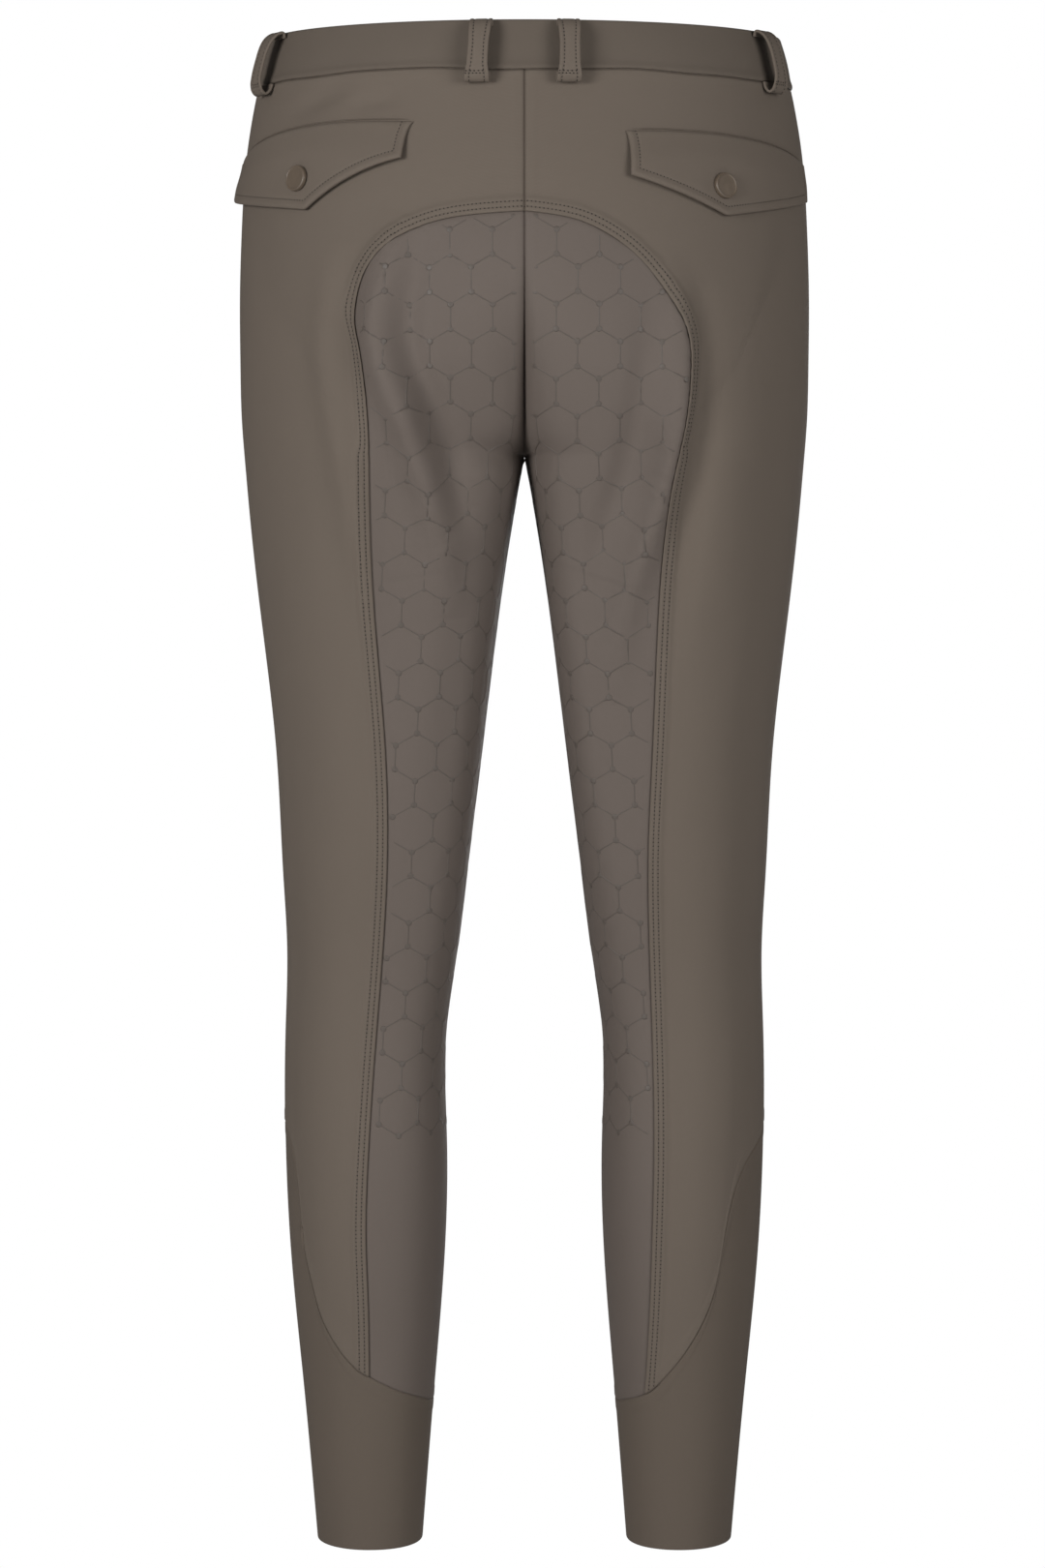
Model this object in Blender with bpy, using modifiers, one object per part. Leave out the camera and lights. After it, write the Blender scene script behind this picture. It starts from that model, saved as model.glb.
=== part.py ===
"""Riding breeches with a full seat, filled out as they are when worn.

The waist is level and its centre, half way up the waistband, is the origin.
+Z is up and -Y is the back.  "Left" and "right" are the wearer's: left is -X.

Each half of the garment is one soft tube.  A point on it is given by its
height z and by the angle phi round the tube: 0 is the outer side, negative
angles are the back and positive ones are the front.  Every panel is a patch
of that surface, so neighbours share their seam lines.
"""
from collections import namedtuple

import bmesh
import bpy
import numpy as np
from mathutils import Matrix, Vector

MM = 0.001

# ---------------------------------------------------------------- dimensions
# All lengths in millimetres, all angles in degrees.

WALL = 1.2              # stretch jersey of the panels and cuffs
SEAM = 0.3              # open line between two pieces
WAIST_SEAM = -15.9      # height of the waistband's lower edge
BAND_TOP = 15.9
BAND_THICK = 3.0
BAND_PROUD = 0.6        # how far the band stands out from the panels
BAND_OVER_END = 28.0    # the band's left end reaches this far past the centre front
BAND_UNDER_END = 12.0   # and its right end this far the other way, beneath it
BAND_STEP_RUN = 26.0    # length over which the left end rises over the right one
CROTCH = -248.0
HEM = -944.0
CLEFT_REACH = 72.0      # how far up the halves run together above the crotch
CLEFT_POWER = 1.2
FRONT_HOLLOW_REACH = 30.0   # how far up the front stays hollow between the legs
INSEAM_TURN = 16.0      # degrees by which the inseam swings to the front
INSEAM_REACH = 60.0

Section = namedtuple("Section", "z outer inner back side front squareness")
SECTIONS = [
    # height, outer edge, inner edge, back, middle of the side, front,
    # squareness of the inner back corner (2 is an ellipse)
    Section(16, 161.6, 0, -112, 0, 104, 2),
    Section(-16, 169.0, 0, -118, 0, 108, 2),
    Section(-56, 176.0, 0, -128, 0, 112, 2),
    Section(-105, 179.6, 0, -138, 0, 114, 2),
    Section(-150, 180.8, 0, -142, -2, 112, 2),
    Section(-190, 180.6, 0, -139, -2, 110, 2.2),
    Section(-225, 179.8, 0, -130, -2, 107, 3.0),
    Section(CROTCH, 178.2, 0, -122, -1, 105, 4.2),
    Section(-290, 174.8, 7.7, -110, 2, 101, 4.8),
    Section(-340, 169.6, 15.3, -100, 4, 96, 4.8),
    Section(-440, 158.8, 27.7, -84, 6, 86, 4.4),
    Section(-515, 155.1, 36.9, -72, 8, 78, 3.9),
    Section(-565, 152.8, 43.2, -63, 10, 74, 3.5),
    Section(-615, 153.9, 50.2, -60, 8, 66, 3.2),
    Section(-690, 153.9, 49.9, -66, 2, 54, 2.8),
    Section(-765, 150.0, 51.7, -64, -3, 48, 2.6),
    Section(-840, 142.8, 57.6, -56, -6, 42, 2.4),
    Section(HEM, 133.7, 65.9, -46, -6, 36, 2.2),
]

SeatSeam = namedtuple("SeatSeam", "z left right")
SEAT_SEAM = [
    # height, distance from the centre back on each side
    SeatSeam(-102, 0, 0),
    SeatSeam(-104, 30, 17),
    SeatSeam(-108, 54.5, 34.5),
    SeatSeam(-115, 72.5, 49.5),
    SeatSeam(-125, 86.5, 64),
    SeatSeam(-140, 97.7, 78.3),
    SeatSeam(-155, 102.6, 88.3),
    SeatSeam(-170, 103.3, 96),
    SeatSeam(-183, 99.9, 99),
    SeatSeam(-200, 97.4, 99),
    SeatSeam(-230, 95.4, 96.4),
    SeatSeam(-263, 95, 90.8),
    SeatSeam(-340, 93, 83.1),
    SeatSeam(-430, 86.7, 79.8),
    SeatSeam(-495, 85.7, 77.5),
    SeatSeam(-545, 88.1, 78.2),
    SeatSeam(-620, 94, 80.9),
    SeatSeam(-690, 98.5, 81.7),
    SeatSeam(-740, 100, 80.7),
    SeatSeam(-780, 98.9, 79.6),
    SeatSeam(-860, 98.6, 75.6),
]

CuffSeam = namedtuple("CuffSeam", "z left right front")
CUFF_SEAM = [
    # height, angles from the outer side: left leg's back, right leg's back,
    # and the front of both
    CuffSeam(-674, 0, 0, 0),
    CuffSeam(-683, 24, 22, 20),
    CuffSeam(-692, 31, 38, 29),
    CuffSeam(-705, 34, 49, 37),
    CuffSeam(-725, 36.5, 56.5, 44),
    CuffSeam(-750, 39, 61.5, 49),
    CuffSeam(-775, 46, 66, 56),
    CuffSeam(-794, 53, 74, 65),
    CuffSeam(-810, 64.5, 84.5, 77),
    CuffSeam(-822, 77, 95, 90),
    CuffSeam(-831, 94, 105, 102),
    CuffSeam(-840, 118, 118, 118),
    CuffSeam(-848, 150, 145, 145),
    CuffSeam(-853, 180, 180, 180),
]

FOLD_CENTRE_CLEAR = 12.0    # folds die away this close to the centre seams
FOLD_SIDE_FADE = 0.25       # and where the cloth has turned this far to the side
FOLD_STEPS = 40

Fold = namedtuple("Fold", "side face path width height")
FOLDS = [
    # side, face, path as (distance from the centre, height), half width,
    # height of the ridge or, when negative, depth of the trough
    Fold("left", "back", [(70, -118), (83, -148), (81, -188), (63, -235), (45, -285), (33, -340)],
         9, 6.8),
    Fold("left", "back", [(62, -128), (68, -160), (60, -192), (40, -232)], 10, -5.5),
    Fold("left", "back", [(119, -115), (121, -188), (112, -235), (101, -305), (94, -370)], 9, 4.2),
    Fold("left", "back", [(104, -120), (106, -170), (100, -225)], 8, -2.5),
    Fold("left", "back", [(104, -20), (128, -30), (150, -42)], 9, -1.2),
    Fold("right", "back", [(84, -128), (94, -164), (93, -235), (80, -282), (62, -336), (52, -395)],
         9, 6.0),
    Fold("right", "back", [(86, -160), (76, -211), (62, -259), (48, -306), (36, -350)], 9, -3.5),
    Fold("right", "back", [(104, -140), (105, -190), (95, -262), (78, -325)], 8, -3.5),
    Fold("right", "back", [(132, -150), (126, -215), (110, -285), (92, -375)], 12, 2.6),
    Fold("left", "front", [(10, -206), (52, -190), (104, -150)], 13, 2.2),
    Fold("left", "front", [(22, -240), (64, -222), (112, -188)], 12, -2.2),
    Fold("left", "front", [(96, -205), (92, -300), (96, -420)], 17, 2.4),
    Fold("left", "front", [(124, -556), (96, -572), (66, -574)], 13, -1.8),
    Fold("right", "front", [(8, -214), (46, -202), (92, -172)], 13, 2.2),
    Fold("right", "front", [(28, -246), (70, -234), (120, -200)], 12, -2.2),
    Fold("right", "front", [(104, -215), (96, -330), (102, -440)], 17, 2.4),
    Fold("right", "front", [(126, -548), (98, -560), (68, -558)], 13, -1.8),
]

Flap = namedtuple("Flap", "corner left_angle left_z left_lift right_angle right_z right_lift")
FLAP = [
    # the outline's corners, and how far each stands off the panel
    Flap("inner top", -69, -46.5, 1.8, -70.9, -52.1, 1.8),
    Flap("inner bottom", -66.5, -69.9, 4.0, -70.5, -80.8, 4.0),
    Flap("point", -43.3, -98.6, 2.2, -48.5, -103.1, 2.4),
    Flap("outer bottom", -3, -87.5, 3.6, -12, -89, 1.2),
    Flap("outer top", -3, -61, 0.9, -10, -63, 0.8),
]
FLAP_THICK = 2.2
FLAP_TOP_BOW = {"left": 7.0, "right": 4.7}      # how far the top edge arches up
FLAP_LOWER_BOW = {"left": 4.0, "right": 1.0}    # and the edge before the point

Snap = namedtuple("Snap", "side angle z")
SNAPS = [Snap("left", -40.4, -79.3), Snap("right", -48.6, -85.0)]
SNAP_RADIUS = 8.0
SNAP_HEIGHT = 2.6

Loop = namedtuple("Loop", "node side top bottom")
LOOPS = [
    # the angles at which the strap's upper and lower ends are sewn
    Loop("loop_back_left", "left", -81.2, -80.9),
    Loop("loop_back_right", "right", -80.5, -80.8),
    Loop("loop_side_left", "left", -22, -20),
    Loop("loop_side_right", "right", -27, -26.5),
    Loop("loop_front_left", "left", 62, 62),
    Loop("loop_front_right", "right", 62, 61),
]
LOOP_WIDTH = 14.0
LOOP_THICK = 1.6
LoopPoint = namedtuple("LoopPoint", "off z")
LOOP_PATH = [
    # the middle of the strap, from its lower turned end to its upper one
    LoopPoint(1.3, -17.5),
    LoopPoint(1.5, -21.5),
    LoopPoint(3.6, -24.2),
    LoopPoint(7.4, -21.5),
    LoopPoint(10.4, -13),
    LoopPoint(11.0, -2),
    LoopPoint(10.2, 8),
    LoopPoint(7.2, 14.2),
    LoopPoint(3.4, 15.8),
    LoopPoint(1.3, 12.6),
]

BUTTON_RADIUS = 8.5
BUTTON_HEIGHT = 3.0

# How finely the seams and pieces are divided
LINE_STEPS = 400        # the seam lines, before they are cut to length
ARCH_STEPS = 10
SEAT_ROWS_ABOVE = 13
INSEAM_ROWS = 21
BACK_COLUMNS = 10
WAIST_BACK_STEPS = 14
FRONT_COLUMNS = 14
CUFF_ROWS = 6
BAND_ROWS = 2
BAND_STEPS = 64
FLAP_ROWS = 4
FLAP_STEPS_INNER = 5
FLAP_STEPS_OUTER = 6
LOOP_STEPS = 20
BUTTON_STEPS = 24
SHARP_ANGLE = 50

SIDES = {"left": -1, "right": 1}
TAUPE = (0.136, 0.110, 0.088)
SEAT_TAUPE = (0.150, 0.124, 0.102)
CUFF_TAUPE = (0.117, 0.093, 0.073)
HORN = (0.085, 0.058, 0.042)


# ------------------------------------------------------------- smooth curves
def natural_spline(knots, values, at):
    """Read a smooth curve through (knots, values) at the places given."""
    order = np.argsort(knots)
    knots = np.asarray(knots, float)[order]
    values = np.asarray(values, float)[order]
    step = np.diff(knots)
    rise = np.diff(values) / step
    matrix = np.eye(len(knots))
    right = np.zeros(len(knots))
    for i in range(1, len(knots) - 1):
        matrix[i, i - 1:i + 2] = step[i - 1], 2 * (step[i - 1] + step[i]), step[i]
        right[i] = 6 * (rise[i] - rise[i - 1])
    bend = np.linalg.solve(matrix, right)
    i = np.clip(np.searchsorted(knots, at) - 1, 0, len(knots) - 2)
    below = at - knots[i]
    above = knots[i + 1] - at
    cubic = (bend[i] * above ** 3 + bend[i + 1] * below ** 3) / (6 * step[i])
    return (cubic + (values[i] / step[i] - bend[i] * step[i] / 6) * above
            + (values[i + 1] / step[i] - bend[i + 1] * step[i] / 6) * below)


def smooth_path(points, count):
    """A smooth line through points of a plane, as count + 1 points."""
    points = np.asarray(points, float)
    reach = np.concatenate([[0], np.cumsum(np.hypot(*np.diff(points, axis=0).T))])
    at = np.linspace(0, reach[-1], count + 1)
    return np.column_stack([natural_spline(reach, points[:, k], at) for k in (0, 1)])


# ------------------------------------------------------- the garment's surface
def column(name, z):
    return natural_spline([row.z for row in SECTIONS],
                          [getattr(row, name) for row in SECTIONS], z)


def inner_edge(z):
    """Half the gap between the legs; negative where the halves run together."""
    legs = [row for row in SECTIONS if row.z <= CROTCH]
    gap = natural_spline([row.z for row in legs], [row.inner for row in legs],
                         np.minimum(z, CROTCH))
    height = np.maximum(z - CROTCH, 0) / CLEFT_REACH
    joined = -column("outer", z) * (1 - np.exp(-height ** CLEFT_POWER))
    return np.where(z > CROTCH, joined, np.maximum(gap, 0))


def tube_share(z):
    """The tube's offset from the centre plane over its half width."""
    outer = column("outer", z)
    inner = inner_edge(z)
    return (outer + inner) / (outer - inner)


def centre_angle(z):
    """The angle, in radians, at which a half meets the centre plane."""
    return np.arccos(np.clip(-tube_share(z), -1, 1))


def plain_point(phi, z):
    """The right half's surface without its folds, in millimetres."""
    phi, z = np.broadcast_arrays(np.asarray(phi, float), np.asarray(z, float))
    share = tube_share(z)
    radius = column("outer", z) / (1 + share)
    x = radius * (share + np.cos(phi))
    reach = np.sin(phi)
    hollow = np.exp(-np.maximum(z - CROTCH, 0) / FRONT_HOLLOW_REACH)
    inner_front = (reach > 0) & (np.cos(phi) < 0)
    reach = np.where(inner_front, 1 - hollow * (1 - reach), reach)
    power = column("squareness", z)
    squared = (1 - np.minimum(abs(np.cos(phi)), 1) ** power) ** (1 / power)
    reach = np.where((reach < 0) & (np.cos(phi) < 0), -squared, reach)
    side = column("side", z)
    depth = np.where(reach < 0, side - column("back", z), column("front", z) - side)
    return np.stack([x, side + depth * reach, z], axis=-1)


def outward(phi, z):
    """The right half's unit normal, found from two short steps."""
    step = 1e-4
    around = plain_point(phi + step, z) - plain_point(phi - step, z)
    down = plain_point(phi, z - 1000 * step) - plain_point(phi, z + 1000 * step)
    normal = np.cross(down, around)
    return normal / np.maximum(np.linalg.norm(normal, axis=-1, keepdims=True), 1e-12)


def angle_at(x, z, face):
    """The angle of the point of the back or front seen at distance x."""
    share = tube_share(z)
    radius = column("outer", z) / (1 + share)
    angle = np.arccos(np.clip(np.asarray(x) / radius - share, -1, 1))
    return angle if face == "front" else -angle


def fold_height(side, phi, z):
    """How far the folds push the surface out of its plain form."""
    points = plain_point(phi, z)
    total = np.zeros(np.shape(points)[:-1])
    for fold in FOLDS:
        if fold.side != side:
            continue
        path = smooth_path(fold.path, FOLD_STEPS)
        offset = points[..., None, [0, 2]] - path
        distance = np.hypot(offset[..., 0], offset[..., 1])
        nearest = np.argmin(distance, axis=-1)
        along = nearest / FOLD_STEPS
        closest = np.min(distance, axis=-1)
        taper = np.sin(np.pi * along)
        facing = np.sin(phi) if fold.face == "front" else -np.sin(phi)
        shown = np.clip(facing / FOLD_SIDE_FADE, 0, 1)
        total += fold.height * taper * shown * np.exp(-(closest / fold.width) ** 2)
    return total * (1 - np.exp(-(points[..., 0] / FOLD_CENTRE_CLEAR) ** 2))


def surface(side, phi, z, off=0.0):
    """A point of the garment, in metres, moved out by off millimetres."""
    phi, z = np.broadcast_arrays(np.asarray(phi, float), np.asarray(z, float))
    lift = fold_height(side, phi, z) + off
    points = plain_point(phi, z) + outward(phi, z) * np.asarray(lift)[..., None]
    points[..., 0] = np.maximum(points[..., 0], 0) * SIDES[side]
    return points * MM


# ----------------------------------------------------------------- seam lines
# A seam line is a dense row of (angle in radians, height in millimetres).
def centre_line(top, bottom, face):
    """The centre back or front; its points crowd towards the crotch."""
    share = np.linspace(1, 0, LINE_STEPS + 1)
    low = np.sqrt((bottom - CROTCH) / (top - CROTCH))
    z = CROTCH + (top - CROTCH) * (low + (1 - low) * share) ** 2
    sign = 1 if face == "front" else -1
    return np.column_stack([sign * centre_angle(z), z])


def level_line(start, end, z, steps=LINE_STEPS):
    return np.column_stack([np.linspace(start, end, steps + 1), np.full(steps + 1, z)])


def side_line(bottom):
    z = np.linspace(WAIST_SEAM, bottom, LINE_STEPS + 1)
    return np.column_stack([np.zeros(LINE_STEPS + 1), z])


def seat_seam(side):
    """From the top of the arch, round its shoulder and down the leg."""
    path = smooth_path([(getattr(row, side), row.z) for row in SEAT_SEAM], LINE_STEPS)
    angle = angle_at(path[:, 0], path[:, 1], "back")
    angle[0] = -centre_angle(path[0, 1])
    return np.column_stack([angle, path[:, 1]])


def cuff_line(side):
    """Round the leg, past the inseam at both its ends."""
    back = [(-getattr(row, side), row.z) for row in CUFF_SEAM]
    front = [(row.front, row.z) for row in CUFF_SEAM]
    behind = [(angle - 360, z) for angle, z in front[-3:]]
    path = smooth_path(behind[:-1] + back[::-1] + front[1:], 2 * LINE_STEPS)
    path[:, 0] = np.radians(path[:, 0])
    return path


def inseam_angle(z):
    """The inseam leaves the innermost line of the leg for the front."""
    return np.pi - np.radians(INSEAM_TURN) * (1 - np.exp((z - CROTCH) / INSEAM_REACH))


def inseam():
    """Down the inner leg, as the front panel's edge; it starts with short steps."""
    z = CROTCH + (HEM - CROTCH) * np.linspace(0, 1, LINE_STEPS + 1) ** 1.5
    return np.column_stack([inseam_angle(z), z])


def cut_at(line, index, share=0.0):
    """The point of a line between two of its rows."""
    return line[index] * (1 - share) + line[index + 1] * share


def crossing(line, other):
    """Where two lines cross, as an index and a share along each."""
    for i in range(len(line) - 1):
        step = line[i + 1] - line[i]
        steps = other[1:] - other[:-1]
        gap = other[:-1] - line[i]
        turn = step[0] * steps[:, 1] - step[1] * steps[:, 0]
        turn = np.where(abs(turn) < 1e-12, 1e-12, turn)
        here = (gap[:, 0] * steps[:, 1] - gap[:, 1] * steps[:, 0]) / turn
        there = (gap[:, 0] * step[1] - gap[:, 1] * step[0]) / turn
        hit = np.nonzero((here >= 0) & (here < 1) & (there >= 0) & (there < 1))[0]
        if len(hit):
            return i, here[hit[0]], hit[0], there[hit[0]]
    raise ValueError("these seam lines don't cross")


def evenly(side, line, steps):
    """steps + 1 points along a seam line, evenly spaced on the surface."""
    points = surface(side, line[:, 0], line[:, 1])
    reach = np.concatenate([[0], np.cumsum(np.linalg.norm(np.diff(points, axis=0), axis=1))])
    at = np.linspace(0, reach[-1], steps + 1)
    return np.column_stack([np.interp(at, reach, line[:, k]) for k in (0, 1)])


def join(*lines):
    """One line from several that follow on from each other."""
    return np.concatenate([lines[0]] + [line[1:] for line in lines[1:]])


def coons_patch(top, bottom, first, last):
    """Fill a patch from its four edges; rows run from first to last."""
    rows, columns = len(first), len(top)
    v = np.linspace(0, 1, rows)[:, None, None]
    u = np.linspace(0, 1, columns)[None, :, None]
    across = (1 - u) * first[:, None] + u * last[:, None]
    along = (1 - v) * top[None] + v * bottom[None]
    corners = ((1 - u) * (1 - v) * top[0] + u * (1 - v) * top[-1]
               + (1 - u) * v * bottom[0] + u * v * bottom[-1])
    return across + along - corners


# -------------------------------------------------------------- making meshes
def material(name, colour, roughness, metallic=0.0):
    made = bpy.data.materials.new(name)
    made.use_nodes = True
    shader = made.node_tree.nodes["Principled BSDF"]
    shader.inputs["Base Color"].default_value = (*colour, 1)
    shader.inputs["Roughness"].default_value = roughness
    shader.inputs["Metallic"].default_value = metallic
    return made


def add_grid(form, points):
    """A flat grid bent to the points given, and its vertices."""
    rows, columns = points.shape[:2]
    made = bmesh.ops.create_grid(form, x_segments=columns - 1, y_segments=rows - 1, size=0.5)
    for vertex in made["verts"]:
        i = round((vertex.co.y + 0.5) * (rows - 1))
        j = round((vertex.co.x + 0.5) * (columns - 1))
        vertex.co = Vector(points[i, j])


def finish(name, form, paint):
    """Turn a bmesh into the garment's next object."""
    mesh = bpy.data.meshes.new(name)
    form.to_mesh(mesh)
    form.free()
    mesh.shade_smooth()
    mesh.set_sharp_from_angle(angle=np.radians(SHARP_ANGLE))
    mesh.materials.append(paint)
    made = bpy.data.objects.new(name, mesh)
    garment.objects.link(made)
    return made


def wall_object(name, outer, inner, paint):
    """A wall of cloth between two grids of points, closed round its edges."""
    form = bmesh.new()
    add_grid(form, outer)
    add_grid(form, inner)
    bmesh.ops.bridge_loops(form, edges=[edge for edge in form.edges if edge.is_boundary])
    bmesh.ops.recalc_face_normals(form, faces=form.faces[:])
    return finish(name, form, paint)


def pull_in(points, normals, amount):
    """Move a grid's four edges towards its inside, square to each edge."""
    moved = points.copy()
    for edge, inside in ((0, 1), (-1, -2)):
        for grid, faces, target in ((points, normals, moved),
                                    (points.swapaxes(0, 1), normals.swapaxes(0, 1),
                                     moved.swapaxes(0, 1))):
            way = np.cross(faces[edge], np.gradient(grid[edge], axis=0))
            way /= np.linalg.norm(way, axis=1, keepdims=True)
            inwards = np.sign(np.sum(way * (grid[inside] - grid[edge])))
            target[edge] += amount * inwards * way
    return moved


def panel(name, side, patch, paint):
    """A cloth panel from its patch of (angle, height)."""
    phi, z = patch[..., 0], patch[..., 1]
    normals = outward(phi, z) * [SIDES[side], 1, 1]
    outer = pull_in(surface(side, phi, z), normals, SEAM / 2 * MM)
    outer[..., 0] = SIDES[side] * np.maximum(abs(outer[..., 0]), SEAM / 2 * MM)
    wall_object(name, outer, outer - normals * WALL * MM, paint)


# --------------------------------------------------------------- the garment
for old in list(bpy.data.objects):
    bpy.data.objects.remove(old)
garment = bpy.data.collections.new("riding_breeches")
bpy.context.scene.collection.children.link(garment)

outer_cloth = material("outer cloth", TAUPE, 0.85)
seat_cloth = material("seat cloth", SEAT_TAUPE, 0.75)
cuff_cloth = material("cuff cloth", CUFF_TAUPE, 0.85)
horn = material("horn", HORN, 0.45)


def cut_panels(side):
    """Cut one half: its back, front and seat panels and its cuff."""
    whole_turn = np.array([2 * np.pi, 0])
    cuff = cuff_line(side)
    at_side = int(np.argmin(abs(cuff[:, 0])))

    # the seat seam ends on the cuff seam, behind
    seam = seat_seam(side)
    i, share, j, cuff_share = crossing(seam, cuff)
    outer_foot = cut_at(cuff, j, cuff_share)
    seam = np.vstack([seam[:i + 1], cut_at(seam, i, share)])
    shoulder = int(np.argmax(plain_point(seam[:, 0], seam[:, 1])[:, 0] + seam[:, 1]))

    # and so does the inseam, in front
    inner = inseam()
    i, share, k, cuff_share = crossing(inner, cuff)
    inner_foot = cut_at(cuff, k, cuff_share)
    inner = np.vstack([inner[:i + 1], inner_foot])
    behind = int(np.searchsorted(cuff[:, 0], inner_foot[0] - 2 * np.pi))

    leg_rows = SEAT_ROWS_ABOVE + INSEAM_ROWS
    arch = evenly(side, seam[:shoulder + 1], ARCH_STEPS)
    leg_seam = evenly(side, seam[shoulder:], leg_rows)
    crotch_curve = evenly(side, centre_line(seam[0, 1], CROTCH, "back"), SEAT_ROWS_ABOVE)
    inner_leg = evenly(side, inner, INSEAM_ROWS)
    seat_inner = join(crotch_curve, inner_leg - whole_turn)
    seat_foot = np.vstack([inner_foot - whole_turn, cuff[behind:j + 1], outer_foot])
    seat_foot = evenly(side, seat_foot, ARCH_STEPS)
    seat = coons_patch(arch, seat_foot, seat_inner, leg_seam)

    side_rows = ARCH_STEPS + leg_rows - WAIST_BACK_STEPS
    side_seam = evenly(side, side_line(cuff[at_side, 1]), side_rows)
    waist_centre = centre_angle(WAIST_SEAM)
    back_waist = evenly(side, level_line(-waist_centre, 0, WAIST_SEAM), WAIST_BACK_STEPS)
    centre_back = evenly(side, centre_line(WAIST_SEAM, seam[0, 1], "back")[::-1], BACK_COLUMNS)
    back_foot = np.vstack([outer_foot, cuff[j + 1:at_side + 1]])
    back_foot = evenly(side, back_foot, BACK_COLUMNS)
    back = coons_patch(centre_back, back_foot, join(arch, leg_seam), join(back_waist, side_seam))

    front_waist = evenly(side, level_line(0, waist_centre, WAIST_SEAM), FRONT_COLUMNS)
    centre_front = centre_line(WAIST_SEAM, CROTCH, "front")
    centre_front = evenly(side, centre_front, side_rows - INSEAM_ROWS)
    front_foot = evenly(side, np.vstack([cuff[at_side:k + 1], inner_foot]), FRONT_COLUMNS)
    front = coons_patch(front_waist, front_foot, side_seam, join(centre_front, inner_leg))

    top = join(seat_foot, back_foot, front_foot)
    hem = level_line(top[0, 0], top[-1, 0], HEM, len(top) - 1)
    drop = np.linspace(0, 1, CUFF_ROWS + 1)[:, None, None]
    tube = (1 - drop) * top[None] + drop * hem[None]

    panel("seat_" + side, side, seat, seat_cloth)
    panel("back_" + side, side, back, outer_cloth)
    panel("front_" + side, side, front, outer_cloth)
    panel("cuff_" + side, side, tube, cuff_cloth)


def cut_flap(side):
    """A pocket flap with a pointed lower edge, sewn on along its top."""
    corner = {row.corner: row for row in FLAP}

    def place(name):
        row = corner[name]
        return np.array([getattr(row, side + part) for part in ("_angle", "_z", "_lift")])

    def edge(start, end, steps, bow=0.0):
        share = np.linspace(0, 1, steps + 1)[:, None]
        points = (1 - share) * place(start) + share * place(end)
        points[:, 1] += bow * 4 * share[:, 0] * (1 - share[:, 0])
        return points

    steps = FLAP_STEPS_INNER + FLAP_STEPS_OUTER
    top = edge("inner top", "outer top", steps, FLAP_TOP_BOW[side])
    inner_low = edge("inner bottom", "point", FLAP_STEPS_INNER, FLAP_LOWER_BOW[side])
    bottom = join(inner_low, edge("point", "outer bottom", FLAP_STEPS_OUTER))
    first = edge("inner top", "inner bottom", FLAP_ROWS)
    last = edge("outer top", "outer bottom", FLAP_ROWS)
    patch = coons_patch(top, bottom, first, last)
    phi, z, lift = np.radians(patch[..., 0]), patch[..., 1], patch[..., 2]
    wall_object("flap_" + side, surface(side, phi, z, lift + FLAP_THICK),
                surface(side, phi, z, lift), outer_cloth)


def flap_lift(side, angle, z):
    """How far the flap stands off the panel under its snap."""
    rows = np.array([[getattr(row, side + part) for part in ("_angle", "_z", "_lift")]
                     for row in FLAP])
    weight = 1 / ((rows[:, 0] - angle) ** 2 + (rows[:, 1] - z) ** 2)
    return float(np.sum(weight * rows[:, 2]) / np.sum(weight))


def band_point(theta, z, off):
    """The waistband's outer face; theta runs all round, 0 at the right side."""
    outer = column("outer", z)
    side = column("side", z)
    depth = np.where(np.sin(theta) < 0, side - column("back", z), column("front", z) - side)
    way = np.stack([np.cos(theta) / outer, np.sin(theta) / depth], axis=-1)
    way /= np.linalg.norm(way, axis=-1, keepdims=True)
    off = np.asarray(off) + BAND_PROUD
    x = outer * np.cos(theta) + way[..., 0] * off
    y = side + depth * np.sin(theta) + way[..., 1] * off
    return np.stack([x, y, np.broadcast_to(z, x.shape)], axis=-1) * MM


def cut_band():
    """The waistband, once round from the front, its left end on top."""
    half_width = column("outer", 0.0)
    under = np.pi / 2 + BAND_UNDER_END / half_width
    over = np.pi / 2 - BAND_OVER_END / half_width - 2 * np.pi
    theta = np.linspace(under, over, BAND_STEPS + 1)
    past = (theta - over) * half_width - BAND_OVER_END - BAND_UNDER_END
    share = np.clip(1 - past / BAND_STEP_RUN, 0, 1)
    rise = (BAND_THICK + 2 * SEAM) * share ** 2 * (3 - 2 * share)
    z = np.linspace(BAND_TOP, WAIST_SEAM + SEAM, BAND_ROWS + 1)
    theta, z = np.meshgrid(theta, z)
    wall_object("waistband", band_point(theta, z, rise),
                band_point(theta, z, rise - BAND_THICK), outer_cloth)


def cut_loop(row):
    """A belt loop, turned under at both ends."""
    path = smooth_path(LOOP_PATH, LOOP_STEPS)
    share = np.clip((path[:, 1] - WAIST_SEAM) / (BAND_TOP - WAIST_SEAM), -0.3, 1)
    angle = np.radians(row.bottom + (row.top - row.bottom) * share)
    theta = angle if row.side == "right" else np.pi - angle
    base = band_point(theta, path[:, 1], path[:, 0])
    ahead = band_point(theta + 1e-3, path[:, 1], path[:, 0])
    across = ahead - base
    across /= np.linalg.norm(across, axis=1, keepdims=True)
    width = LOOP_WIDTH * MM * np.array([-0.5, 0.5])
    points = base[:, None] + across[:, None] * width[None, :, None]
    form = bmesh.new()
    add_grid(form, points)
    strap = finish(row.node, form, outer_cloth).modifiers.new("strap", "SOLIDIFY")
    strap.thickness = LOOP_THICK * MM
    strap.offset = 0.0


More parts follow.
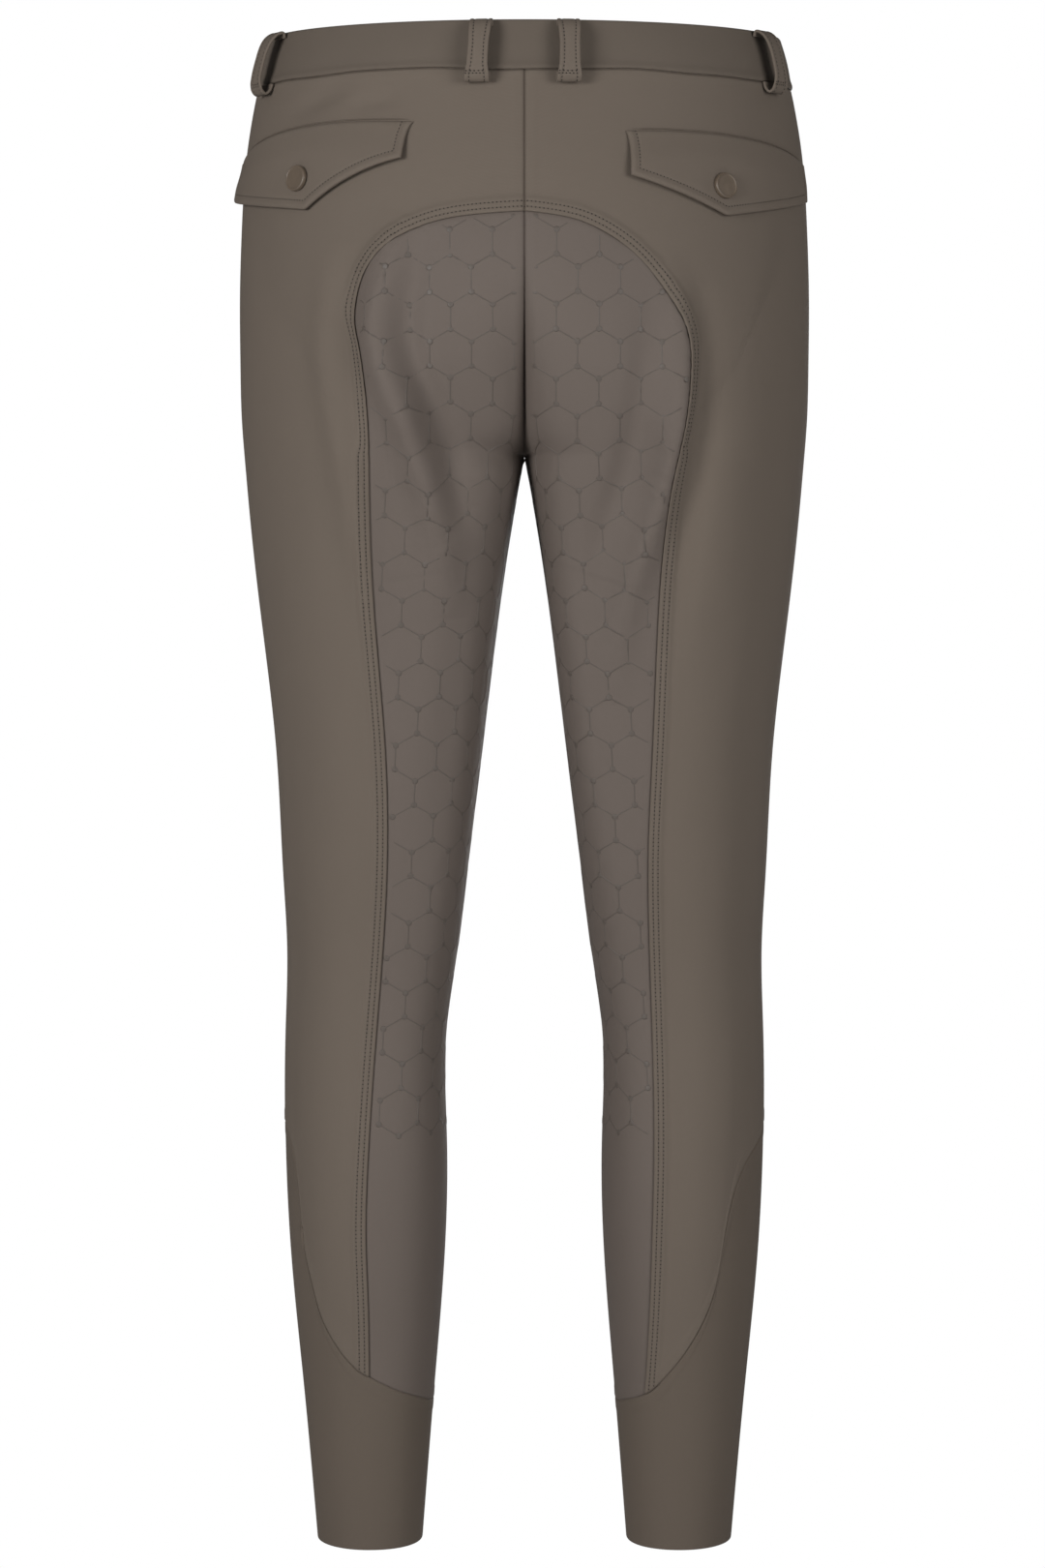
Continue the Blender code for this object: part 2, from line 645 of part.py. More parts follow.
def turned(name, profile, place, normal, paint):
    """A turned button from its profile, set flat at a place."""
    mesh = bpy.data.meshes.new(name)
    points = [(radius * MM, 0, height * MM) for radius, height in profile]
    mesh.from_pydata(points, [(i, i + 1) for i in range(len(points) - 1)], [])
    mesh.materials.append(paint)
    made = bpy.data.objects.new(name, mesh)
    garment.objects.link(made)
    spin = made.modifiers.new("turned", "SCREW")
    spin.steps = spin.render_steps = BUTTON_STEPS
    spin.use_merge_vertices = True
    spin.merge_threshold = 1e-6
    turn = Vector(normal).normalized().to_track_quat("Z", "Y").to_matrix().to_4x4()
    made.matrix_world = Matrix.Translation(Vector(place)) @ turn


def snap_profile(radius, height):
    """Down the outer side of a press stud's cap, with a raised rim."""
    return [(0, height * 0.8), (radius * 0.62, height * 0.8), (radius * 0.72, height),
            (radius * 0.88, height), (radius, height * 0.6), (radius, 0), (0, 0)]


for half in SIDES:
    cut_panels(half)
    cut_flap(half)
cut_band()
for loop in LOOPS:
    cut_loop(loop)

for snap in SNAPS:
    phi = np.radians(snap.angle)
    off = flap_lift(snap.side, snap.angle, snap.z) + FLAP_THICK + SEAM
    normal = outward(phi, snap.z) * [SIDES[snap.side], 1, 1]
    turned("snap_" + snap.side, snap_profile(SNAP_RADIUS, SNAP_HEIGHT),
           surface(snap.side, phi, snap.z, off), normal, horn)

theta = np.array(np.pi / 2 - BAND_OVER_END / 2 / column("outer", 0.0))
off = BAND_THICK + 3 * SEAM
place = band_point(theta, np.array(0.0), off)
around = band_point(theta - 0.01, np.array(0.0), off) - place
up = band_point(theta, np.array(1.0), off) - place
turned("waist_button", snap_profile(BUTTON_RADIUS, BUTTON_HEIGHT), place, np.cross(up, around), horn)
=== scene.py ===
"""Riding breeches with a full seat, filled out as they are when worn.

The waist's centre, half way up the waistband, is the origin.  +Z is up and -Y is
the back.  "Left" and "right" are the wearer's: left is -X.  Lengths in the tables
are millimetres and angles are degrees.
"""
from collections import namedtuple

import bpy
import numpy as np
from mathutils import Matrix, Vector


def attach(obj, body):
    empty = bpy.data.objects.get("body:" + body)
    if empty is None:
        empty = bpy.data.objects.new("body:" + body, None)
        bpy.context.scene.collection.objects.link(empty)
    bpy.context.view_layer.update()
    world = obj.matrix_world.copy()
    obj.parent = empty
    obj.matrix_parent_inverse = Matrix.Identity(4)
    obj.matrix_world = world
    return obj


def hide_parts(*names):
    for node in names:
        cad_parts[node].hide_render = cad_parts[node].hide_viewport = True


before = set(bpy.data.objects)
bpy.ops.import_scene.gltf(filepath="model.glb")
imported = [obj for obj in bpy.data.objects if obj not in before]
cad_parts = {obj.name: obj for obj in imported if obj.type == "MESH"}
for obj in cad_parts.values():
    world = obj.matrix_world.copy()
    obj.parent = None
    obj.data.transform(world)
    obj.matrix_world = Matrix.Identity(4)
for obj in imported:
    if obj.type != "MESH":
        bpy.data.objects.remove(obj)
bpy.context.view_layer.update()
bpy.ops.object.select_all(action="DESELECT")


# ---------------------------------------------------------------- back panels
# The outer back of each leg, cut in one with the outer side: stretch jersey,
# from the waistband to the cuff.  Its inner edge is turned under, laid over the
# seat panel and held by two rows of stitches.
MM = 0.001
WALL = 1.2
WAIST_SEAM = -15.9
WAIST_TOP = -11.9       # the panels run this far up behind the waistband
CROTCH = -248.0
HEM = -944.0
CLEFT_REACH = 72.0      # how far up the halves run together above the crotch
CLEFT_POWER = 1.2
FRONT_HOLLOW_REACH = 30.0
INSEAM_TURN = 16.0      # the inseam swings this far to the front
INSEAM_REACH = 60.0
INSEAM_CROWD = 1.5      # its points crowd towards the crotch
LINE_STEPS = 600
SIDES = {"left": -1, "right": 1}

Section = namedtuple("Section", "z outer inner back side front squareness")
SECTIONS = [
    # height, outer edge, inner edge, back, middle of the side, front,
    # squareness of the inner back corner (2 is an ellipse)
    Section(16, 161.6, 0, -112, 0, 104, 2),
    Section(-16, 169.0, 0, -118, 0, 108, 2),
    Section(-56, 176.0, 0, -128, 0, 112, 2),
    Section(-105, 179.6, 0, -138, 0, 114, 2),
    Section(-150, 180.8, 0, -142, -2, 112, 2),
    Section(-190, 180.6, 0, -139, -2, 110, 2.2),
    Section(-225, 179.8, 0, -130, -2, 107, 3.0),
    Section(CROTCH, 178.2, 0, -122, -1, 105, 4.2),
    Section(-290, 174.8, 7.7, -110, 2, 101, 4.8),
    Section(-340, 169.6, 15.3, -100, 4, 96, 4.8),
    Section(-440, 158.8, 27.7, -84, 6, 86, 4.4),
    Section(-515, 155.1, 36.9, -72, 8, 78, 3.9),
    Section(-565, 152.8, 43.2, -63, 10, 74, 3.5),
    Section(-615, 153.9, 50.2, -60, 8, 66, 3.2),
    Section(-690, 153.9, 49.9, -66, 2, 54, 2.8),
    Section(-765, 150.0, 51.7, -64, -3, 48, 2.6),
    Section(-840, 142.8, 57.6, -56, -6, 42, 2.4),
    Section(HEM, 133.7, 65.9, -46, -6, 36, 2.2),
]

SeatSeam = namedtuple("SeatSeam", "z left right")
SEAT_SEAM = [
    # height, distance from the centre back on each side
    SeatSeam(-102, 0, 0),
    SeatSeam(-104, 30, 17),
    SeatSeam(-108, 54.5, 34.5),
    SeatSeam(-115, 72.5, 49.5),
    SeatSeam(-125, 86.5, 64),
    SeatSeam(-140, 97.7, 78.3),
    SeatSeam(-155, 102.6, 88.3),
    SeatSeam(-170, 103.3, 96),
    SeatSeam(-183, 99.9, 99),
    SeatSeam(-200, 97.4, 99),
    SeatSeam(-230, 95.4, 96.4),
    SeatSeam(-263, 95, 90.8),
    SeatSeam(-340, 93, 83.1),
    SeatSeam(-430, 86.7, 79.8),
    SeatSeam(-495, 85.7, 77.5),
    SeatSeam(-545, 88.1, 78.2),
    SeatSeam(-620, 94, 80.9),
    SeatSeam(-690, 98.5, 81.7),
    SeatSeam(-740, 100, 80.7),
    SeatSeam(-780, 98.9, 79.6),
    SeatSeam(-860, 98.6, 75.6),
]

CuffSeam = namedtuple("CuffSeam", "z left right front")
CUFF_SEAM = [
    # height, angles from the outer side: left leg's back, right leg's back,
    # and the front of both
    CuffSeam(-674, 0, 0, 0),
    CuffSeam(-683, 24, 22, 20),
    CuffSeam(-692, 31, 38, 29),
    CuffSeam(-705, 34, 49, 37),
    CuffSeam(-725, 36.5, 56.5, 44),
    CuffSeam(-750, 39, 61.5, 49),
    CuffSeam(-775, 46, 66, 56),
    CuffSeam(-794, 53, 74, 65),
    CuffSeam(-810, 64.5, 84.5, 77),
    CuffSeam(-822, 77, 95, 90),
    CuffSeam(-831, 94, 105, 102),
    CuffSeam(-840, 118, 118, 118),
    CuffSeam(-848, 150, 145, 145),
    CuffSeam(-853, 180, 180, 180),
]

Fold = namedtuple("Fold", "side face path width height")
FOLDS = [
    # side, face, path as (distance from the centre, height), half width,
    # height of the ridge or, when negative, depth of the trough
    Fold("left", "back", [(74, -100), (83, -135), (89, -172), (84, -198), (75, -221), (66, -247),
                          (56, -285), (46, -350)], 12, 11),
    Fold("left", "back", [(60, -108), (69, -145), (72, -172), (66, -198), (56, -221), (47, -247),
                          (36, -300)], 9, -7),
    Fold("left", "back", [(40, -120), (46, -175), (36, -225), (26, -300)], 20, -5),
    Fold("left", "back", [(119, -115), (122, -188), (114, -235), (103, -305), (94, -370)], 10, 5.2),
    Fold("left", "back", [(104, -120), (106, -170), (100, -225)], 8, -2.5),
    Fold("left", "back", [(104, -20), (128, -30), (150, -42)], 7, -1.8),
    Fold("left", "back", [(112, -38), (92, -33), (72, -30)], 6, -1.5),
    Fold("left", "back", [(26, -262), (34, -330), (46, -430), (58, -530)], 15, -3.5),
    Fold("right", "back", [(86, -124), (94, -164), (92, -235), (79, -290), (62, -345), (52, -405)],
         9.5, 9.0),
    Fold("right", "back", [(76, -150), (72, -205), (62, -259), (46, -306), (36, -360)], 10, -5.0),
    Fold("right", "back", [(108, -135), (111, -190), (105, -262), (95, -335), (91, -390)],
         8, -4.5),
    Fold("right", "back", [(142, -140), (137, -215), (120, -295), (100, -390)], 20, 2.6),
    Fold("right", "back", [(15, -222), (18, -280), (25, -350), (36, -430), (48, -530)], 10, 2.5),
    Fold("left", "front", [(10, -206), (52, -190), (104, -150)], 13, 2.2),
    Fold("left", "front", [(22, -240), (64, -222), (112, -188)], 12, -2.2),
    Fold("left", "front", [(96, -205), (92, -300), (96, -420)], 17, 2.4),
    Fold("left", "front", [(124, -556), (96, -572), (66, -574)], 13, -1.8),
    Fold("right", "front", [(8, -214), (46, -202), (92, -172)], 13, 2.2),
    Fold("right", "front", [(28, -246), (70, -234), (120, -200)], 12, -2.2),
    Fold("right", "front", [(104, -215), (96, -330), (102, -440)], 17, 2.4),
    Fold("right", "front", [(126, -548), (98, -560), (68, -558)], 13, -1.8),
]
GROOVE_TOP = -118.0     # the seat sinks in along its centre seam from here down
GROOVE_DEEP = -225.0
GROOVE_DEPTH = 14.5
GROOVE_WIDTH = {"left": 31.0, "right": 8.0}
GROOVE_ROUND = 2.0
GROOVE_SIDE_FADE = 0.5  # it fades towards the sides, and just above the crotch
GROOVE_FOOT = 6.0
GROOVE_FOOT_FADE = 24.0
SEAM_DEPTH = 0.9        # the seam itself lies in a sharper crease that deepens with it
CREASE_DEPTH = 5.5
CREASE_WIDTH = 1.6
CENTRE_HOLD = 1.5       # the seams hold the centre plane over this width
FOLD_CENTRE_CLEAR = 12.0
FOLD_SIDE_FADE = 0.25
FOLD_STEPS = 40
SLOPE_STEP = 1e-4       # radians, or metres, over which a slope is measured


def smooth_step(x):
    x = np.clip(x, 0, 1)
    return x * x * (3 - 2 * x)


def natural_spline(knots, values, at):
    order = np.argsort(knots)
    knots = np.asarray(knots, float)[order]
    values = np.asarray(values, float)[order]
    step = np.diff(knots)
    rise = np.diff(values) / step
    matrix = np.eye(len(knots))
    right = np.zeros(len(knots))
    for i in range(1, len(knots) - 1):
        matrix[i, i - 1:i + 2] = step[i - 1], 2 * (step[i - 1] + step[i]), step[i]
        right[i] = 6 * (rise[i] - rise[i - 1])
    bend = np.linalg.solve(matrix, right)
    i = np.clip(np.searchsorted(knots, at) - 1, 0, len(knots) - 2)
    below = at - knots[i]
    above = knots[i + 1] - at
    cubic = (bend[i] * above ** 3 + bend[i + 1] * below ** 3) / (6 * step[i])
    return (cubic + (values[i] / step[i] - bend[i] * step[i] / 6) * above
            + (values[i + 1] / step[i] - bend[i + 1] * step[i] / 6) * below)


def smooth_path(points, count):
    points = np.asarray(points, float)
    reach = np.concatenate([[0], np.cumsum(np.hypot(*np.diff(points, axis=0).T))])
    at = np.linspace(0, reach[-1], count + 1)
    return np.column_stack([natural_spline(reach, points[:, k], at) for k in (0, 1)])


def column(name, z):
    return natural_spline([row.z for row in SECTIONS],
                          [getattr(row, name) for row in SECTIONS], z)


def inner_edge(z):
    """Half the gap between the legs; negative where the halves run together."""
    legs = [row for row in SECTIONS if row.z <= CROTCH]
    gap = natural_spline([row.z for row in legs], [row.inner for row in legs],
                         np.minimum(z, CROTCH))
    height = np.maximum(z - CROTCH, 0) / CLEFT_REACH
    joined = -column("outer", z) * (1 - np.exp(-height ** CLEFT_POWER))
    return np.where(z > CROTCH, joined, np.maximum(gap, 0))


def tube_share(z):
    outer = column("outer", z)
    inner = inner_edge(z)
    return (outer + inner) / (outer - inner)


def centre_angle(z):
    """The angle, in radians, at which a half meets the centre plane."""
    return np.arccos(np.clip(-tube_share(z), -1, 1))


def plain_point(phi, z):
    """The right half's surface without its folds, in millimetres."""
    phi, z = np.broadcast_arrays(np.asarray(phi, float), np.asarray(z, float))
    share = tube_share(z)
    radius = column("outer", z) / (1 + share)
    x = radius * (share + np.cos(phi))
    reach = np.sin(phi)
    hollow = np.exp(-np.maximum(z - CROTCH, 0) / FRONT_HOLLOW_REACH)
    inner_front = (reach > 0) & (np.cos(phi) < 0)
    reach = np.where(inner_front, 1 - hollow * (1 - reach), reach)
    power = column("squareness", z)
    squared = (1 - np.minimum(abs(np.cos(phi)), 1) ** power) ** (1 / power)
    reach = np.where((reach < 0) & (np.cos(phi) < 0), -squared, reach)
    side = column("side", z)
    depth = np.where(reach < 0, side - column("back", z), column("front", z) - side)
    return np.stack([x, side + depth * reach, z], axis=-1)


def outward(phi, z):
    """The right half's unit normal, found from two short steps."""
    step = SLOPE_STEP
    around = plain_point(phi + step, z) - plain_point(phi - step, z)
    down = plain_point(phi, z - 1000 * step) - plain_point(phi, z + 1000 * step)
    normal = np.cross(down, around)
    return normal / np.maximum(np.linalg.norm(normal, axis=-1, keepdims=True), 1e-12)


def angle_at(x, z, face):
    """The angle of the point of the back or front seen at distance x."""
    share = tube_share(z)
    radius = column("outer", z) / (1 + share)
    angle = np.arccos(np.clip(np.asarray(x) / radius - share, -1, 1))
    return angle if face == "front" else -angle


def fold_height(side, phi, z):
    """How far the folds push the surface out of its plain form."""
    points = plain_point(phi, z)
    total = np.zeros(np.shape(points)[:-1])
    for fold in FOLDS:
        if fold.side != side:
            continue
        path = smooth_path(fold.path, FOLD_STEPS)
        closest = np.full(total.shape, np.inf)
        nearest = np.zeros(total.shape)
        for i, (x, height) in enumerate(path):
            distance = np.hypot(points[..., 0] - x, points[..., 2] - height)
            nearer = distance < closest
            closest = np.where(nearer, distance, closest)
            nearest = np.where(nearer, i, nearest)
        taper = np.sin(np.pi * nearest / FOLD_STEPS)
        facing = np.sin(phi) if fold.face == "front" else -np.sin(phi)
        shown = np.clip(facing / FOLD_SIDE_FADE, 0, 1)
        total += fold.height * taper * shown * np.exp(-(closest / fold.width) ** 2)
    return total * (1 - np.exp(-(points[..., 0] / FOLD_CENTRE_CLEAR) ** 2))


def groove(side, phi, points):
    """How far the seat sinks in beside its centre seam."""
    height = points[..., 2]
    deep = smooth_step((GROOVE_TOP - height) / (GROOVE_TOP - GROOVE_DEEP))
    behind = smooth_step(-np.sin(phi) / GROOVE_SIDE_FADE)
    behind = behind * (1 - smooth_step((CROTCH + GROOVE_FOOT - height) / GROOVE_FOOT_FADE))
    deep = deep * behind
    aside = np.hypot(points[..., 0], GROOVE_ROUND) - GROOVE_ROUND
    crease = np.exp(-np.maximum(points[..., 0], 0) / CREASE_WIDTH)
    return (GROOVE_DEPTH * deep * np.exp(-aside / GROOVE_WIDTH[side])
            + (SEAM_DEPTH * behind + CREASE_DEPTH * deep) * crease)


def surface(side, phi, z, off=0.0):
    """Points of the garment, in metres, moved out by off millimetres."""
    phi, z = np.broadcast_arrays(np.asarray(phi, float), np.asarray(z, float))
    lift = fold_height(side, phi, z) + off
    plain = plain_point(phi, z)
    move = outward(phi, z) * np.asarray(lift)[..., None]
    move[..., 0] *= 1 - np.exp(-(plain[..., 0] / CENTRE_HOLD) ** 2)
    move[..., 1] += groove(side, phi, plain)
    points = plain + move
    points[..., 0] = np.maximum(points[..., 0], 0) * SIDES[side]
    return points * MM


# A seam line is a dense row of (angle in radians, height in millimetres).
def centre_line(top, bottom, face):
    """The centre back or front; its points crowd towards the crotch."""
    share = np.linspace(1, 0, LINE_STEPS + 1)
    low = np.sqrt((bottom - CROTCH) / (top - CROTCH))
    z = CROTCH + (top - CROTCH) * (low + (1 - low) * share) ** 2
    sign = 1 if face == "front" else -1
    return np.column_stack([sign * centre_angle(z), z])


def level_line(start, end, z, steps=LINE_STEPS):
    return np.column_stack([np.linspace(start, end, steps + 1), np.full(steps + 1, z)])


def side_line(bottom):
    z = np.linspace(WAIST_TOP, bottom, LINE_STEPS + 1)
    return np.column_stack([np.zeros(LINE_STEPS + 1), z])


def seat_seam(side):
    """From the top of the arch, round its shoulder and down the leg."""
    path = smooth_path([(getattr(row, side), row.z) for row in SEAT_SEAM], LINE_STEPS)
    angle = angle_at(path[:, 0], path[:, 1], "back")
    angle[0] = -centre_angle(path[0, 1])
    return np.column_stack([angle, path[:, 1]])


def cuff_line(side):
    """Round the leg, past the inseam at both its ends."""
    back = [(-getattr(row, side), row.z) for row in CUFF_SEAM]
    front = [(row.front, row.z) for row in CUFF_SEAM]
    behind = [(angle - 360, z) for angle, z in front[-3:]]
    path = smooth_path(behind[:-1] + back[::-1] + front[1:], 2 * LINE_STEPS)
    path[:, 0] = np.radians(path[:, 0])
    return path


def inseam_angle(z):
    return np.pi - np.radians(INSEAM_TURN) * (1 - np.exp((z - CROTCH) / INSEAM_REACH))


def inseam():
    z = CROTCH + (HEM - CROTCH) * np.linspace(0, 1, LINE_STEPS + 1) ** INSEAM_CROWD
    return np.column_stack([inseam_angle(z), z])


def cut_at(line, index, share=0.0):
    return line[index] * (1 - share) + line[index + 1] * share


def crossing(line, other):
    """Where two lines cross, as an index and a share along each."""
    for i in range(len(line) - 1):
        step = line[i + 1] - line[i]
        steps = other[1:] - other[:-1]
        gap = other[:-1] - line[i]
        turn = step[0] * steps[:, 1] - step[1] * steps[:, 0]
        turn = np.where(abs(turn) < 1e-12, 1e-12, turn)
        here = (gap[:, 0] * steps[:, 1] - gap[:, 1] * steps[:, 0]) / turn
        there = (gap[:, 0] * step[1] - gap[:, 1] * step[0]) / turn
        hit = np.nonzero((here >= 0) & (here < 1) & (there >= 0) & (there < 1))[0]
        if len(hit):
            return i, here[hit[0]], hit[0], there[hit[0]]
    raise ValueError("these seam lines don't cross")


def evenly(line, steps):
    """steps + 1 points along a seam line, evenly spaced on the surface."""
    points = plain_point(line[:, 0], line[:, 1])
    reach = np.concatenate([[0], np.cumsum(np.linalg.norm(np.diff(points, axis=0), axis=1))])
    at = np.linspace(0, reach[-1], steps + 1)
    return np.column_stack([np.interp(at, reach, line[:, k]) for k in (0, 1)])


def join(*lines):
    return np.concatenate([lines[0]] + [line[1:] for line in lines[1:]])


def coons_patch(top, bottom, first, last):
    """Fill a patch from its four edges; rows run from first to last."""
    rows, columns = len(first), len(top)
    v = np.linspace(0, 1, rows)[:, None, None]
    u = np.linspace(0, 1, columns)[None, :, None]
    across = (1 - u) * first[:, None] + u * last[:, None]
    along = (1 - v) * top[None] + v * bottom[None]
    corners = ((1 - u) * (1 - v) * top[0] + u * (1 - v) * top[-1]
               + (1 - u) * v * bottom[0] + u * v * bottom[-1])
    return across + along - corners


def let_out(line, amount):
    """Shift a seam line to its left as it runs, seen from outside the right half."""
    phi, z = line[:, 0], line[:, 1]
    points = plain_point(phi, z)
    along = np.gradient(points, axis=0)
    along /= np.linalg.norm(along, axis=1, keepdims=True)
    shift = np.cross(outward(phi, z), along) * amount
    step = SLOPE_STEP
    per_angle = (plain_point(phi + step, z) - plain_point(phi - step, z)) / (2 * step)
    per_height = (plain_point(phi, z + step) - plain_point(phi, z - step)) / (2 * step)
    moved = []
    for a, b, c in zip(per_angle, per_height, shift):
        moved.append(np.linalg.lstsq(np.column_stack([a, b]), c, rcond=None)[0])
    return line + np.array(moved)


CLOTH_SPACING = 3.2
LEAST_SLANT = 0.6


def respace(patch, first, last, spacing):
    """Put a patch's columns at set distances from its side edges.

    first and last are distances in millimetres; between them the columns are
    about spacing apart.  Returns the patch and each point's two distances.
    """
    points = plain_point(patch[..., 0], patch[..., 1])
    steps = np.linalg.norm(np.diff(points, axis=1), axis=-1)
    reach = np.pad(np.cumsum(steps, axis=1), ((0, 0), (1, 0)))

    def slant(edge, inside):
        along = np.gradient(points[:, edge], axis=0)
        across = points[:, inside] - points[:, edge]
        sine = np.linalg.norm(np.cross(along, across), axis=1)
        sine /= np.linalg.norm(along, axis=1) * np.linalg.norm(across, axis=1) + 1e-9
        return np.clip(sine, LEAST_SLANT, 1)

    start, stop = slant(0, 2), slant(-1, -3)
    middle = int(np.median(reach[:, -1]) / spacing)
    made, from_first, from_last = [], [], []
    for row, at, left, right in zip(patch, reach, start, stop):
        near, far = np.array(first) / left, at[-1] - np.array(last[::-1]) / right
        between = np.linspace(near[-1], far[0], middle + 1)[1:-1]
        wanted = np.concatenate([near, between, far])
        made.append(np.column_stack([np.interp(wanted, at, row[:, k])
                                     for k in range(row.shape[1])]))
        from_first.append(wanted * left)
        from_last.append((at[-1] - wanted) * right)
    return np.array(made), np.array(from_first), np.array(from_last)


Cut = namedtuple("Cut", "phi z lift top bottom first last")


def fine_cut(patch, top, bottom, first, last, spacing=CLOTH_SPACING):
    """A patch with fine rows and columns next to its seams, and its distances."""
    turned, above, below = respace(patch.swapaxes(0, 1), top, bottom, spacing)
    patch = turned.swapaxes(0, 1)
    above, below = above.T, below.T
    at = np.linspace(0, 1, patch.shape[1])
    made, from_first, from_last = respace(patch, first, last, spacing)
    shares = from_first / (from_first + from_last)
    from_top = np.array([np.interp(s, at, row) for s, row in zip(shares, above)])
    from_bottom = np.array([np.interp(s, at, row) for s, row in zip(shares, below)])
    lift = made[..., 2] if made.shape[-1] > 2 else 0.0
    return Cut(made[..., 0], made[..., 1], lift, from_top, from_bottom, from_first, from_last)


BAND_FOOT = -16.1
BandLift = namedtuple("BandLift", "angle width height")
BAND_LIFTS = [
    # where the waistband's lower edge is sewn on a little higher
    BandLift(-118, 26, 2.9),
    BandLift(-66, 20, 2.2),
    BandLift(52, 30, 1.2),
    BandLift(128, 26, 1.4),
]
Wave = namedtuple("Wave", "height count start")
BAND_FOOT_WAVES = [Wave(0.25, 9, 0.6), Wave(0.2, 17, 2.1)]
BAND_SEAM_DEPTH = 1.3
BAND_SEAM_WIDTH = 0.75


def waves(rows, theta):
    return sum(row.height * np.sin(row.count * theta + row.start) for row in rows)


def band_foot(theta):
    """The height of the waistband's lower edge, round the waist."""
    foot = BAND_FOOT + waves(BAND_FOOT_WAVES, theta)
    for lift in BAND_LIFTS:
        away = (np.degrees(theta) - lift.angle + 180) % 360 - 180
        foot = foot + lift.height * np.exp(-(away / lift.width) ** 2)
    return foot


def band_seam(side, cut):
    """The crease in a panel along the waistband's lower edge."""
    theta = cut.phi if side == "right" else np.pi - cut.phi
    return -BAND_SEAM_DEPTH * np.exp(-((cut.z - band_foot(theta)) / BAND_SEAM_WIDTH) ** 2)


STITCH_ROWS = (2.8, 6.2)        # distances of the twin needles from the turned edge
LAP_RISE = 1.0
LAP_TURNED = 7.2                # width of the cloth turned under it
LAP_FALL = 4.0
EDGE_RADIUS = 0.8
FURROW_DEPTH = 0.14
FURROW_WIDTH = 0.6
PRESSED_DEPTH = 0.9
PRESSED_WIDTH = 0.6
ALLOWANCE = 6.0
ALLOWANCE_RISE = 0.25
ALLOWANCE_FALL = 3.0
TUCK_DEPTH = 1.5
TUCK_WIDTH = 2.8


# These give how far a relief stands out at distance d from an edge or a line.
def hump(d, width):
    return np.exp(-(d / width) ** 2)


def rounded(d, radius):
    """An edge that falls away in a quarter circle."""
    return -radius * (1 - np.sqrt(1 - (1 - np.clip(d / radius, 0, 1)) ** 2))


def lapped(d):
    """A turned edge that lies on top, and the furrows its stitches pull."""
    rise = LAP_RISE * (1 - smooth_step((d - LAP_TURNED) / LAP_FALL))
    furrows = sum(hump(d - row, FURROW_WIDTH) for row in STITCH_ROWS)
    return rise + rounded(d, EDGE_RADIUS) - FURROW_DEPTH * furrows


def pressed(d):
    """A plain seam, its allowances pressed open behind it."""
    allowance = 1 - smooth_step((d - ALLOWANCE) / ALLOWANCE_FALL)
    return ALLOWANCE_RISE * allowance - PRESSED_DEPTH * hump(d, PRESSED_WIDTH)


def tucked(d):
    """An edge that runs in under the piece above."""
    return -TUCK_DEPTH * hump(d, TUCK_WIDTH)


# Distances from an edge at which a piece has its finer rows of points.
PLAIN = [0, 0.35, 0.75, 1.2, 2, 3.2, 5, 6.5, 7.7, 9]
WAISTED = [0, 0.7, 1.1, 1.5, 1.9, 2.3, 2.7, 3.1, 3.5, 3.9, 4.3, 4.7, 5.2, 6, 7.2, 9]
LAPPED = [0, 0.12, 0.35, 0.8, 1.3, 1.8, 2.2, 2.5, 2.8, 3.1, 3.5, 4.1, 4.9, 5.5, 5.9, 6.2, 6.5,
          7.0, 7.8, 9, 10.3, 11.6, 13.5, 16]
TUCKED = [0, 0.8, 1.6, 2.4, 3.2, 4.2, 5.6, 7.5]
SHARP_EDGE = 50         # degrees; flatter edges are shaded smooth


def cloth_object(name, points, places):
    """A grid of cloth bent to its points; places are its UVs, in metres."""
    rows, columns = points.shape[:2]
    bpy.ops.mesh.primitive_grid_add(x_subdivisions=columns - 1, y_subdivisions=rows - 1, size=1)
    piece = bpy.context.object
    piece.name = piece.data.name = name
    mesh = piece.data
    mesh.vertices.foreach_set("co", points.reshape(-1))
    corner = np.empty(len(mesh.loops), int)
    mesh.loops.foreach_get("vertex_index", corner)
    mesh.uv_layers.active.data.foreach_set("uv", places.reshape(-1, 2)[corner].reshape(-1))
    mesh.update()
    return piece


def face_out(piece, outside):
    """Turn a sheet's faces to the side where its outside directions point."""
    mesh = piece.data
    normals = np.empty(len(mesh.vertices) * 3)
    mesh.vertices.foreach_get("normal", normals)
    if np.sum(normals.reshape(-1, 3) * outside.reshape(-1, 3)) < 0:
        mesh.flip_normals()


def thicken(piece, thickness, inner=None):
    """Close a sheet with an inner face, at its thickness or at the given points."""
    count = len(piece.data.vertices)
    bpy.ops.object.modifier_add(type="SOLIDIFY")
    wall = piece.modifiers[-1]
    wall.thickness = thickness * MM
    wall.offset = -1
    bpy.ops.object.modifier_apply(modifier=wall.name)
    if inner is not None:
        points = np.empty(len(piece.data.vertices) * 3)
        piece.data.vertices.foreach_get("co", points)
        points.reshape(-1, 3)[count:] = inner.reshape(-1, 3)
        piece.data.vertices.foreach_set("co", points)
        piece.data.update()
    bpy.ops.object.shade_smooth_by_angle(angle=np.radians(SHARP_EDGE))


def finish_piece(piece, paint, replaced):
    piece.data.materials.clear()
    piece.data.materials.append(paint)
    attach(piece, "root")
    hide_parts(replaced)


def normals_at(side, phi, z):
    """Outward directions on one side of the garment."""
    return outward(phi, z) * [SIDES[side], 1, 1]


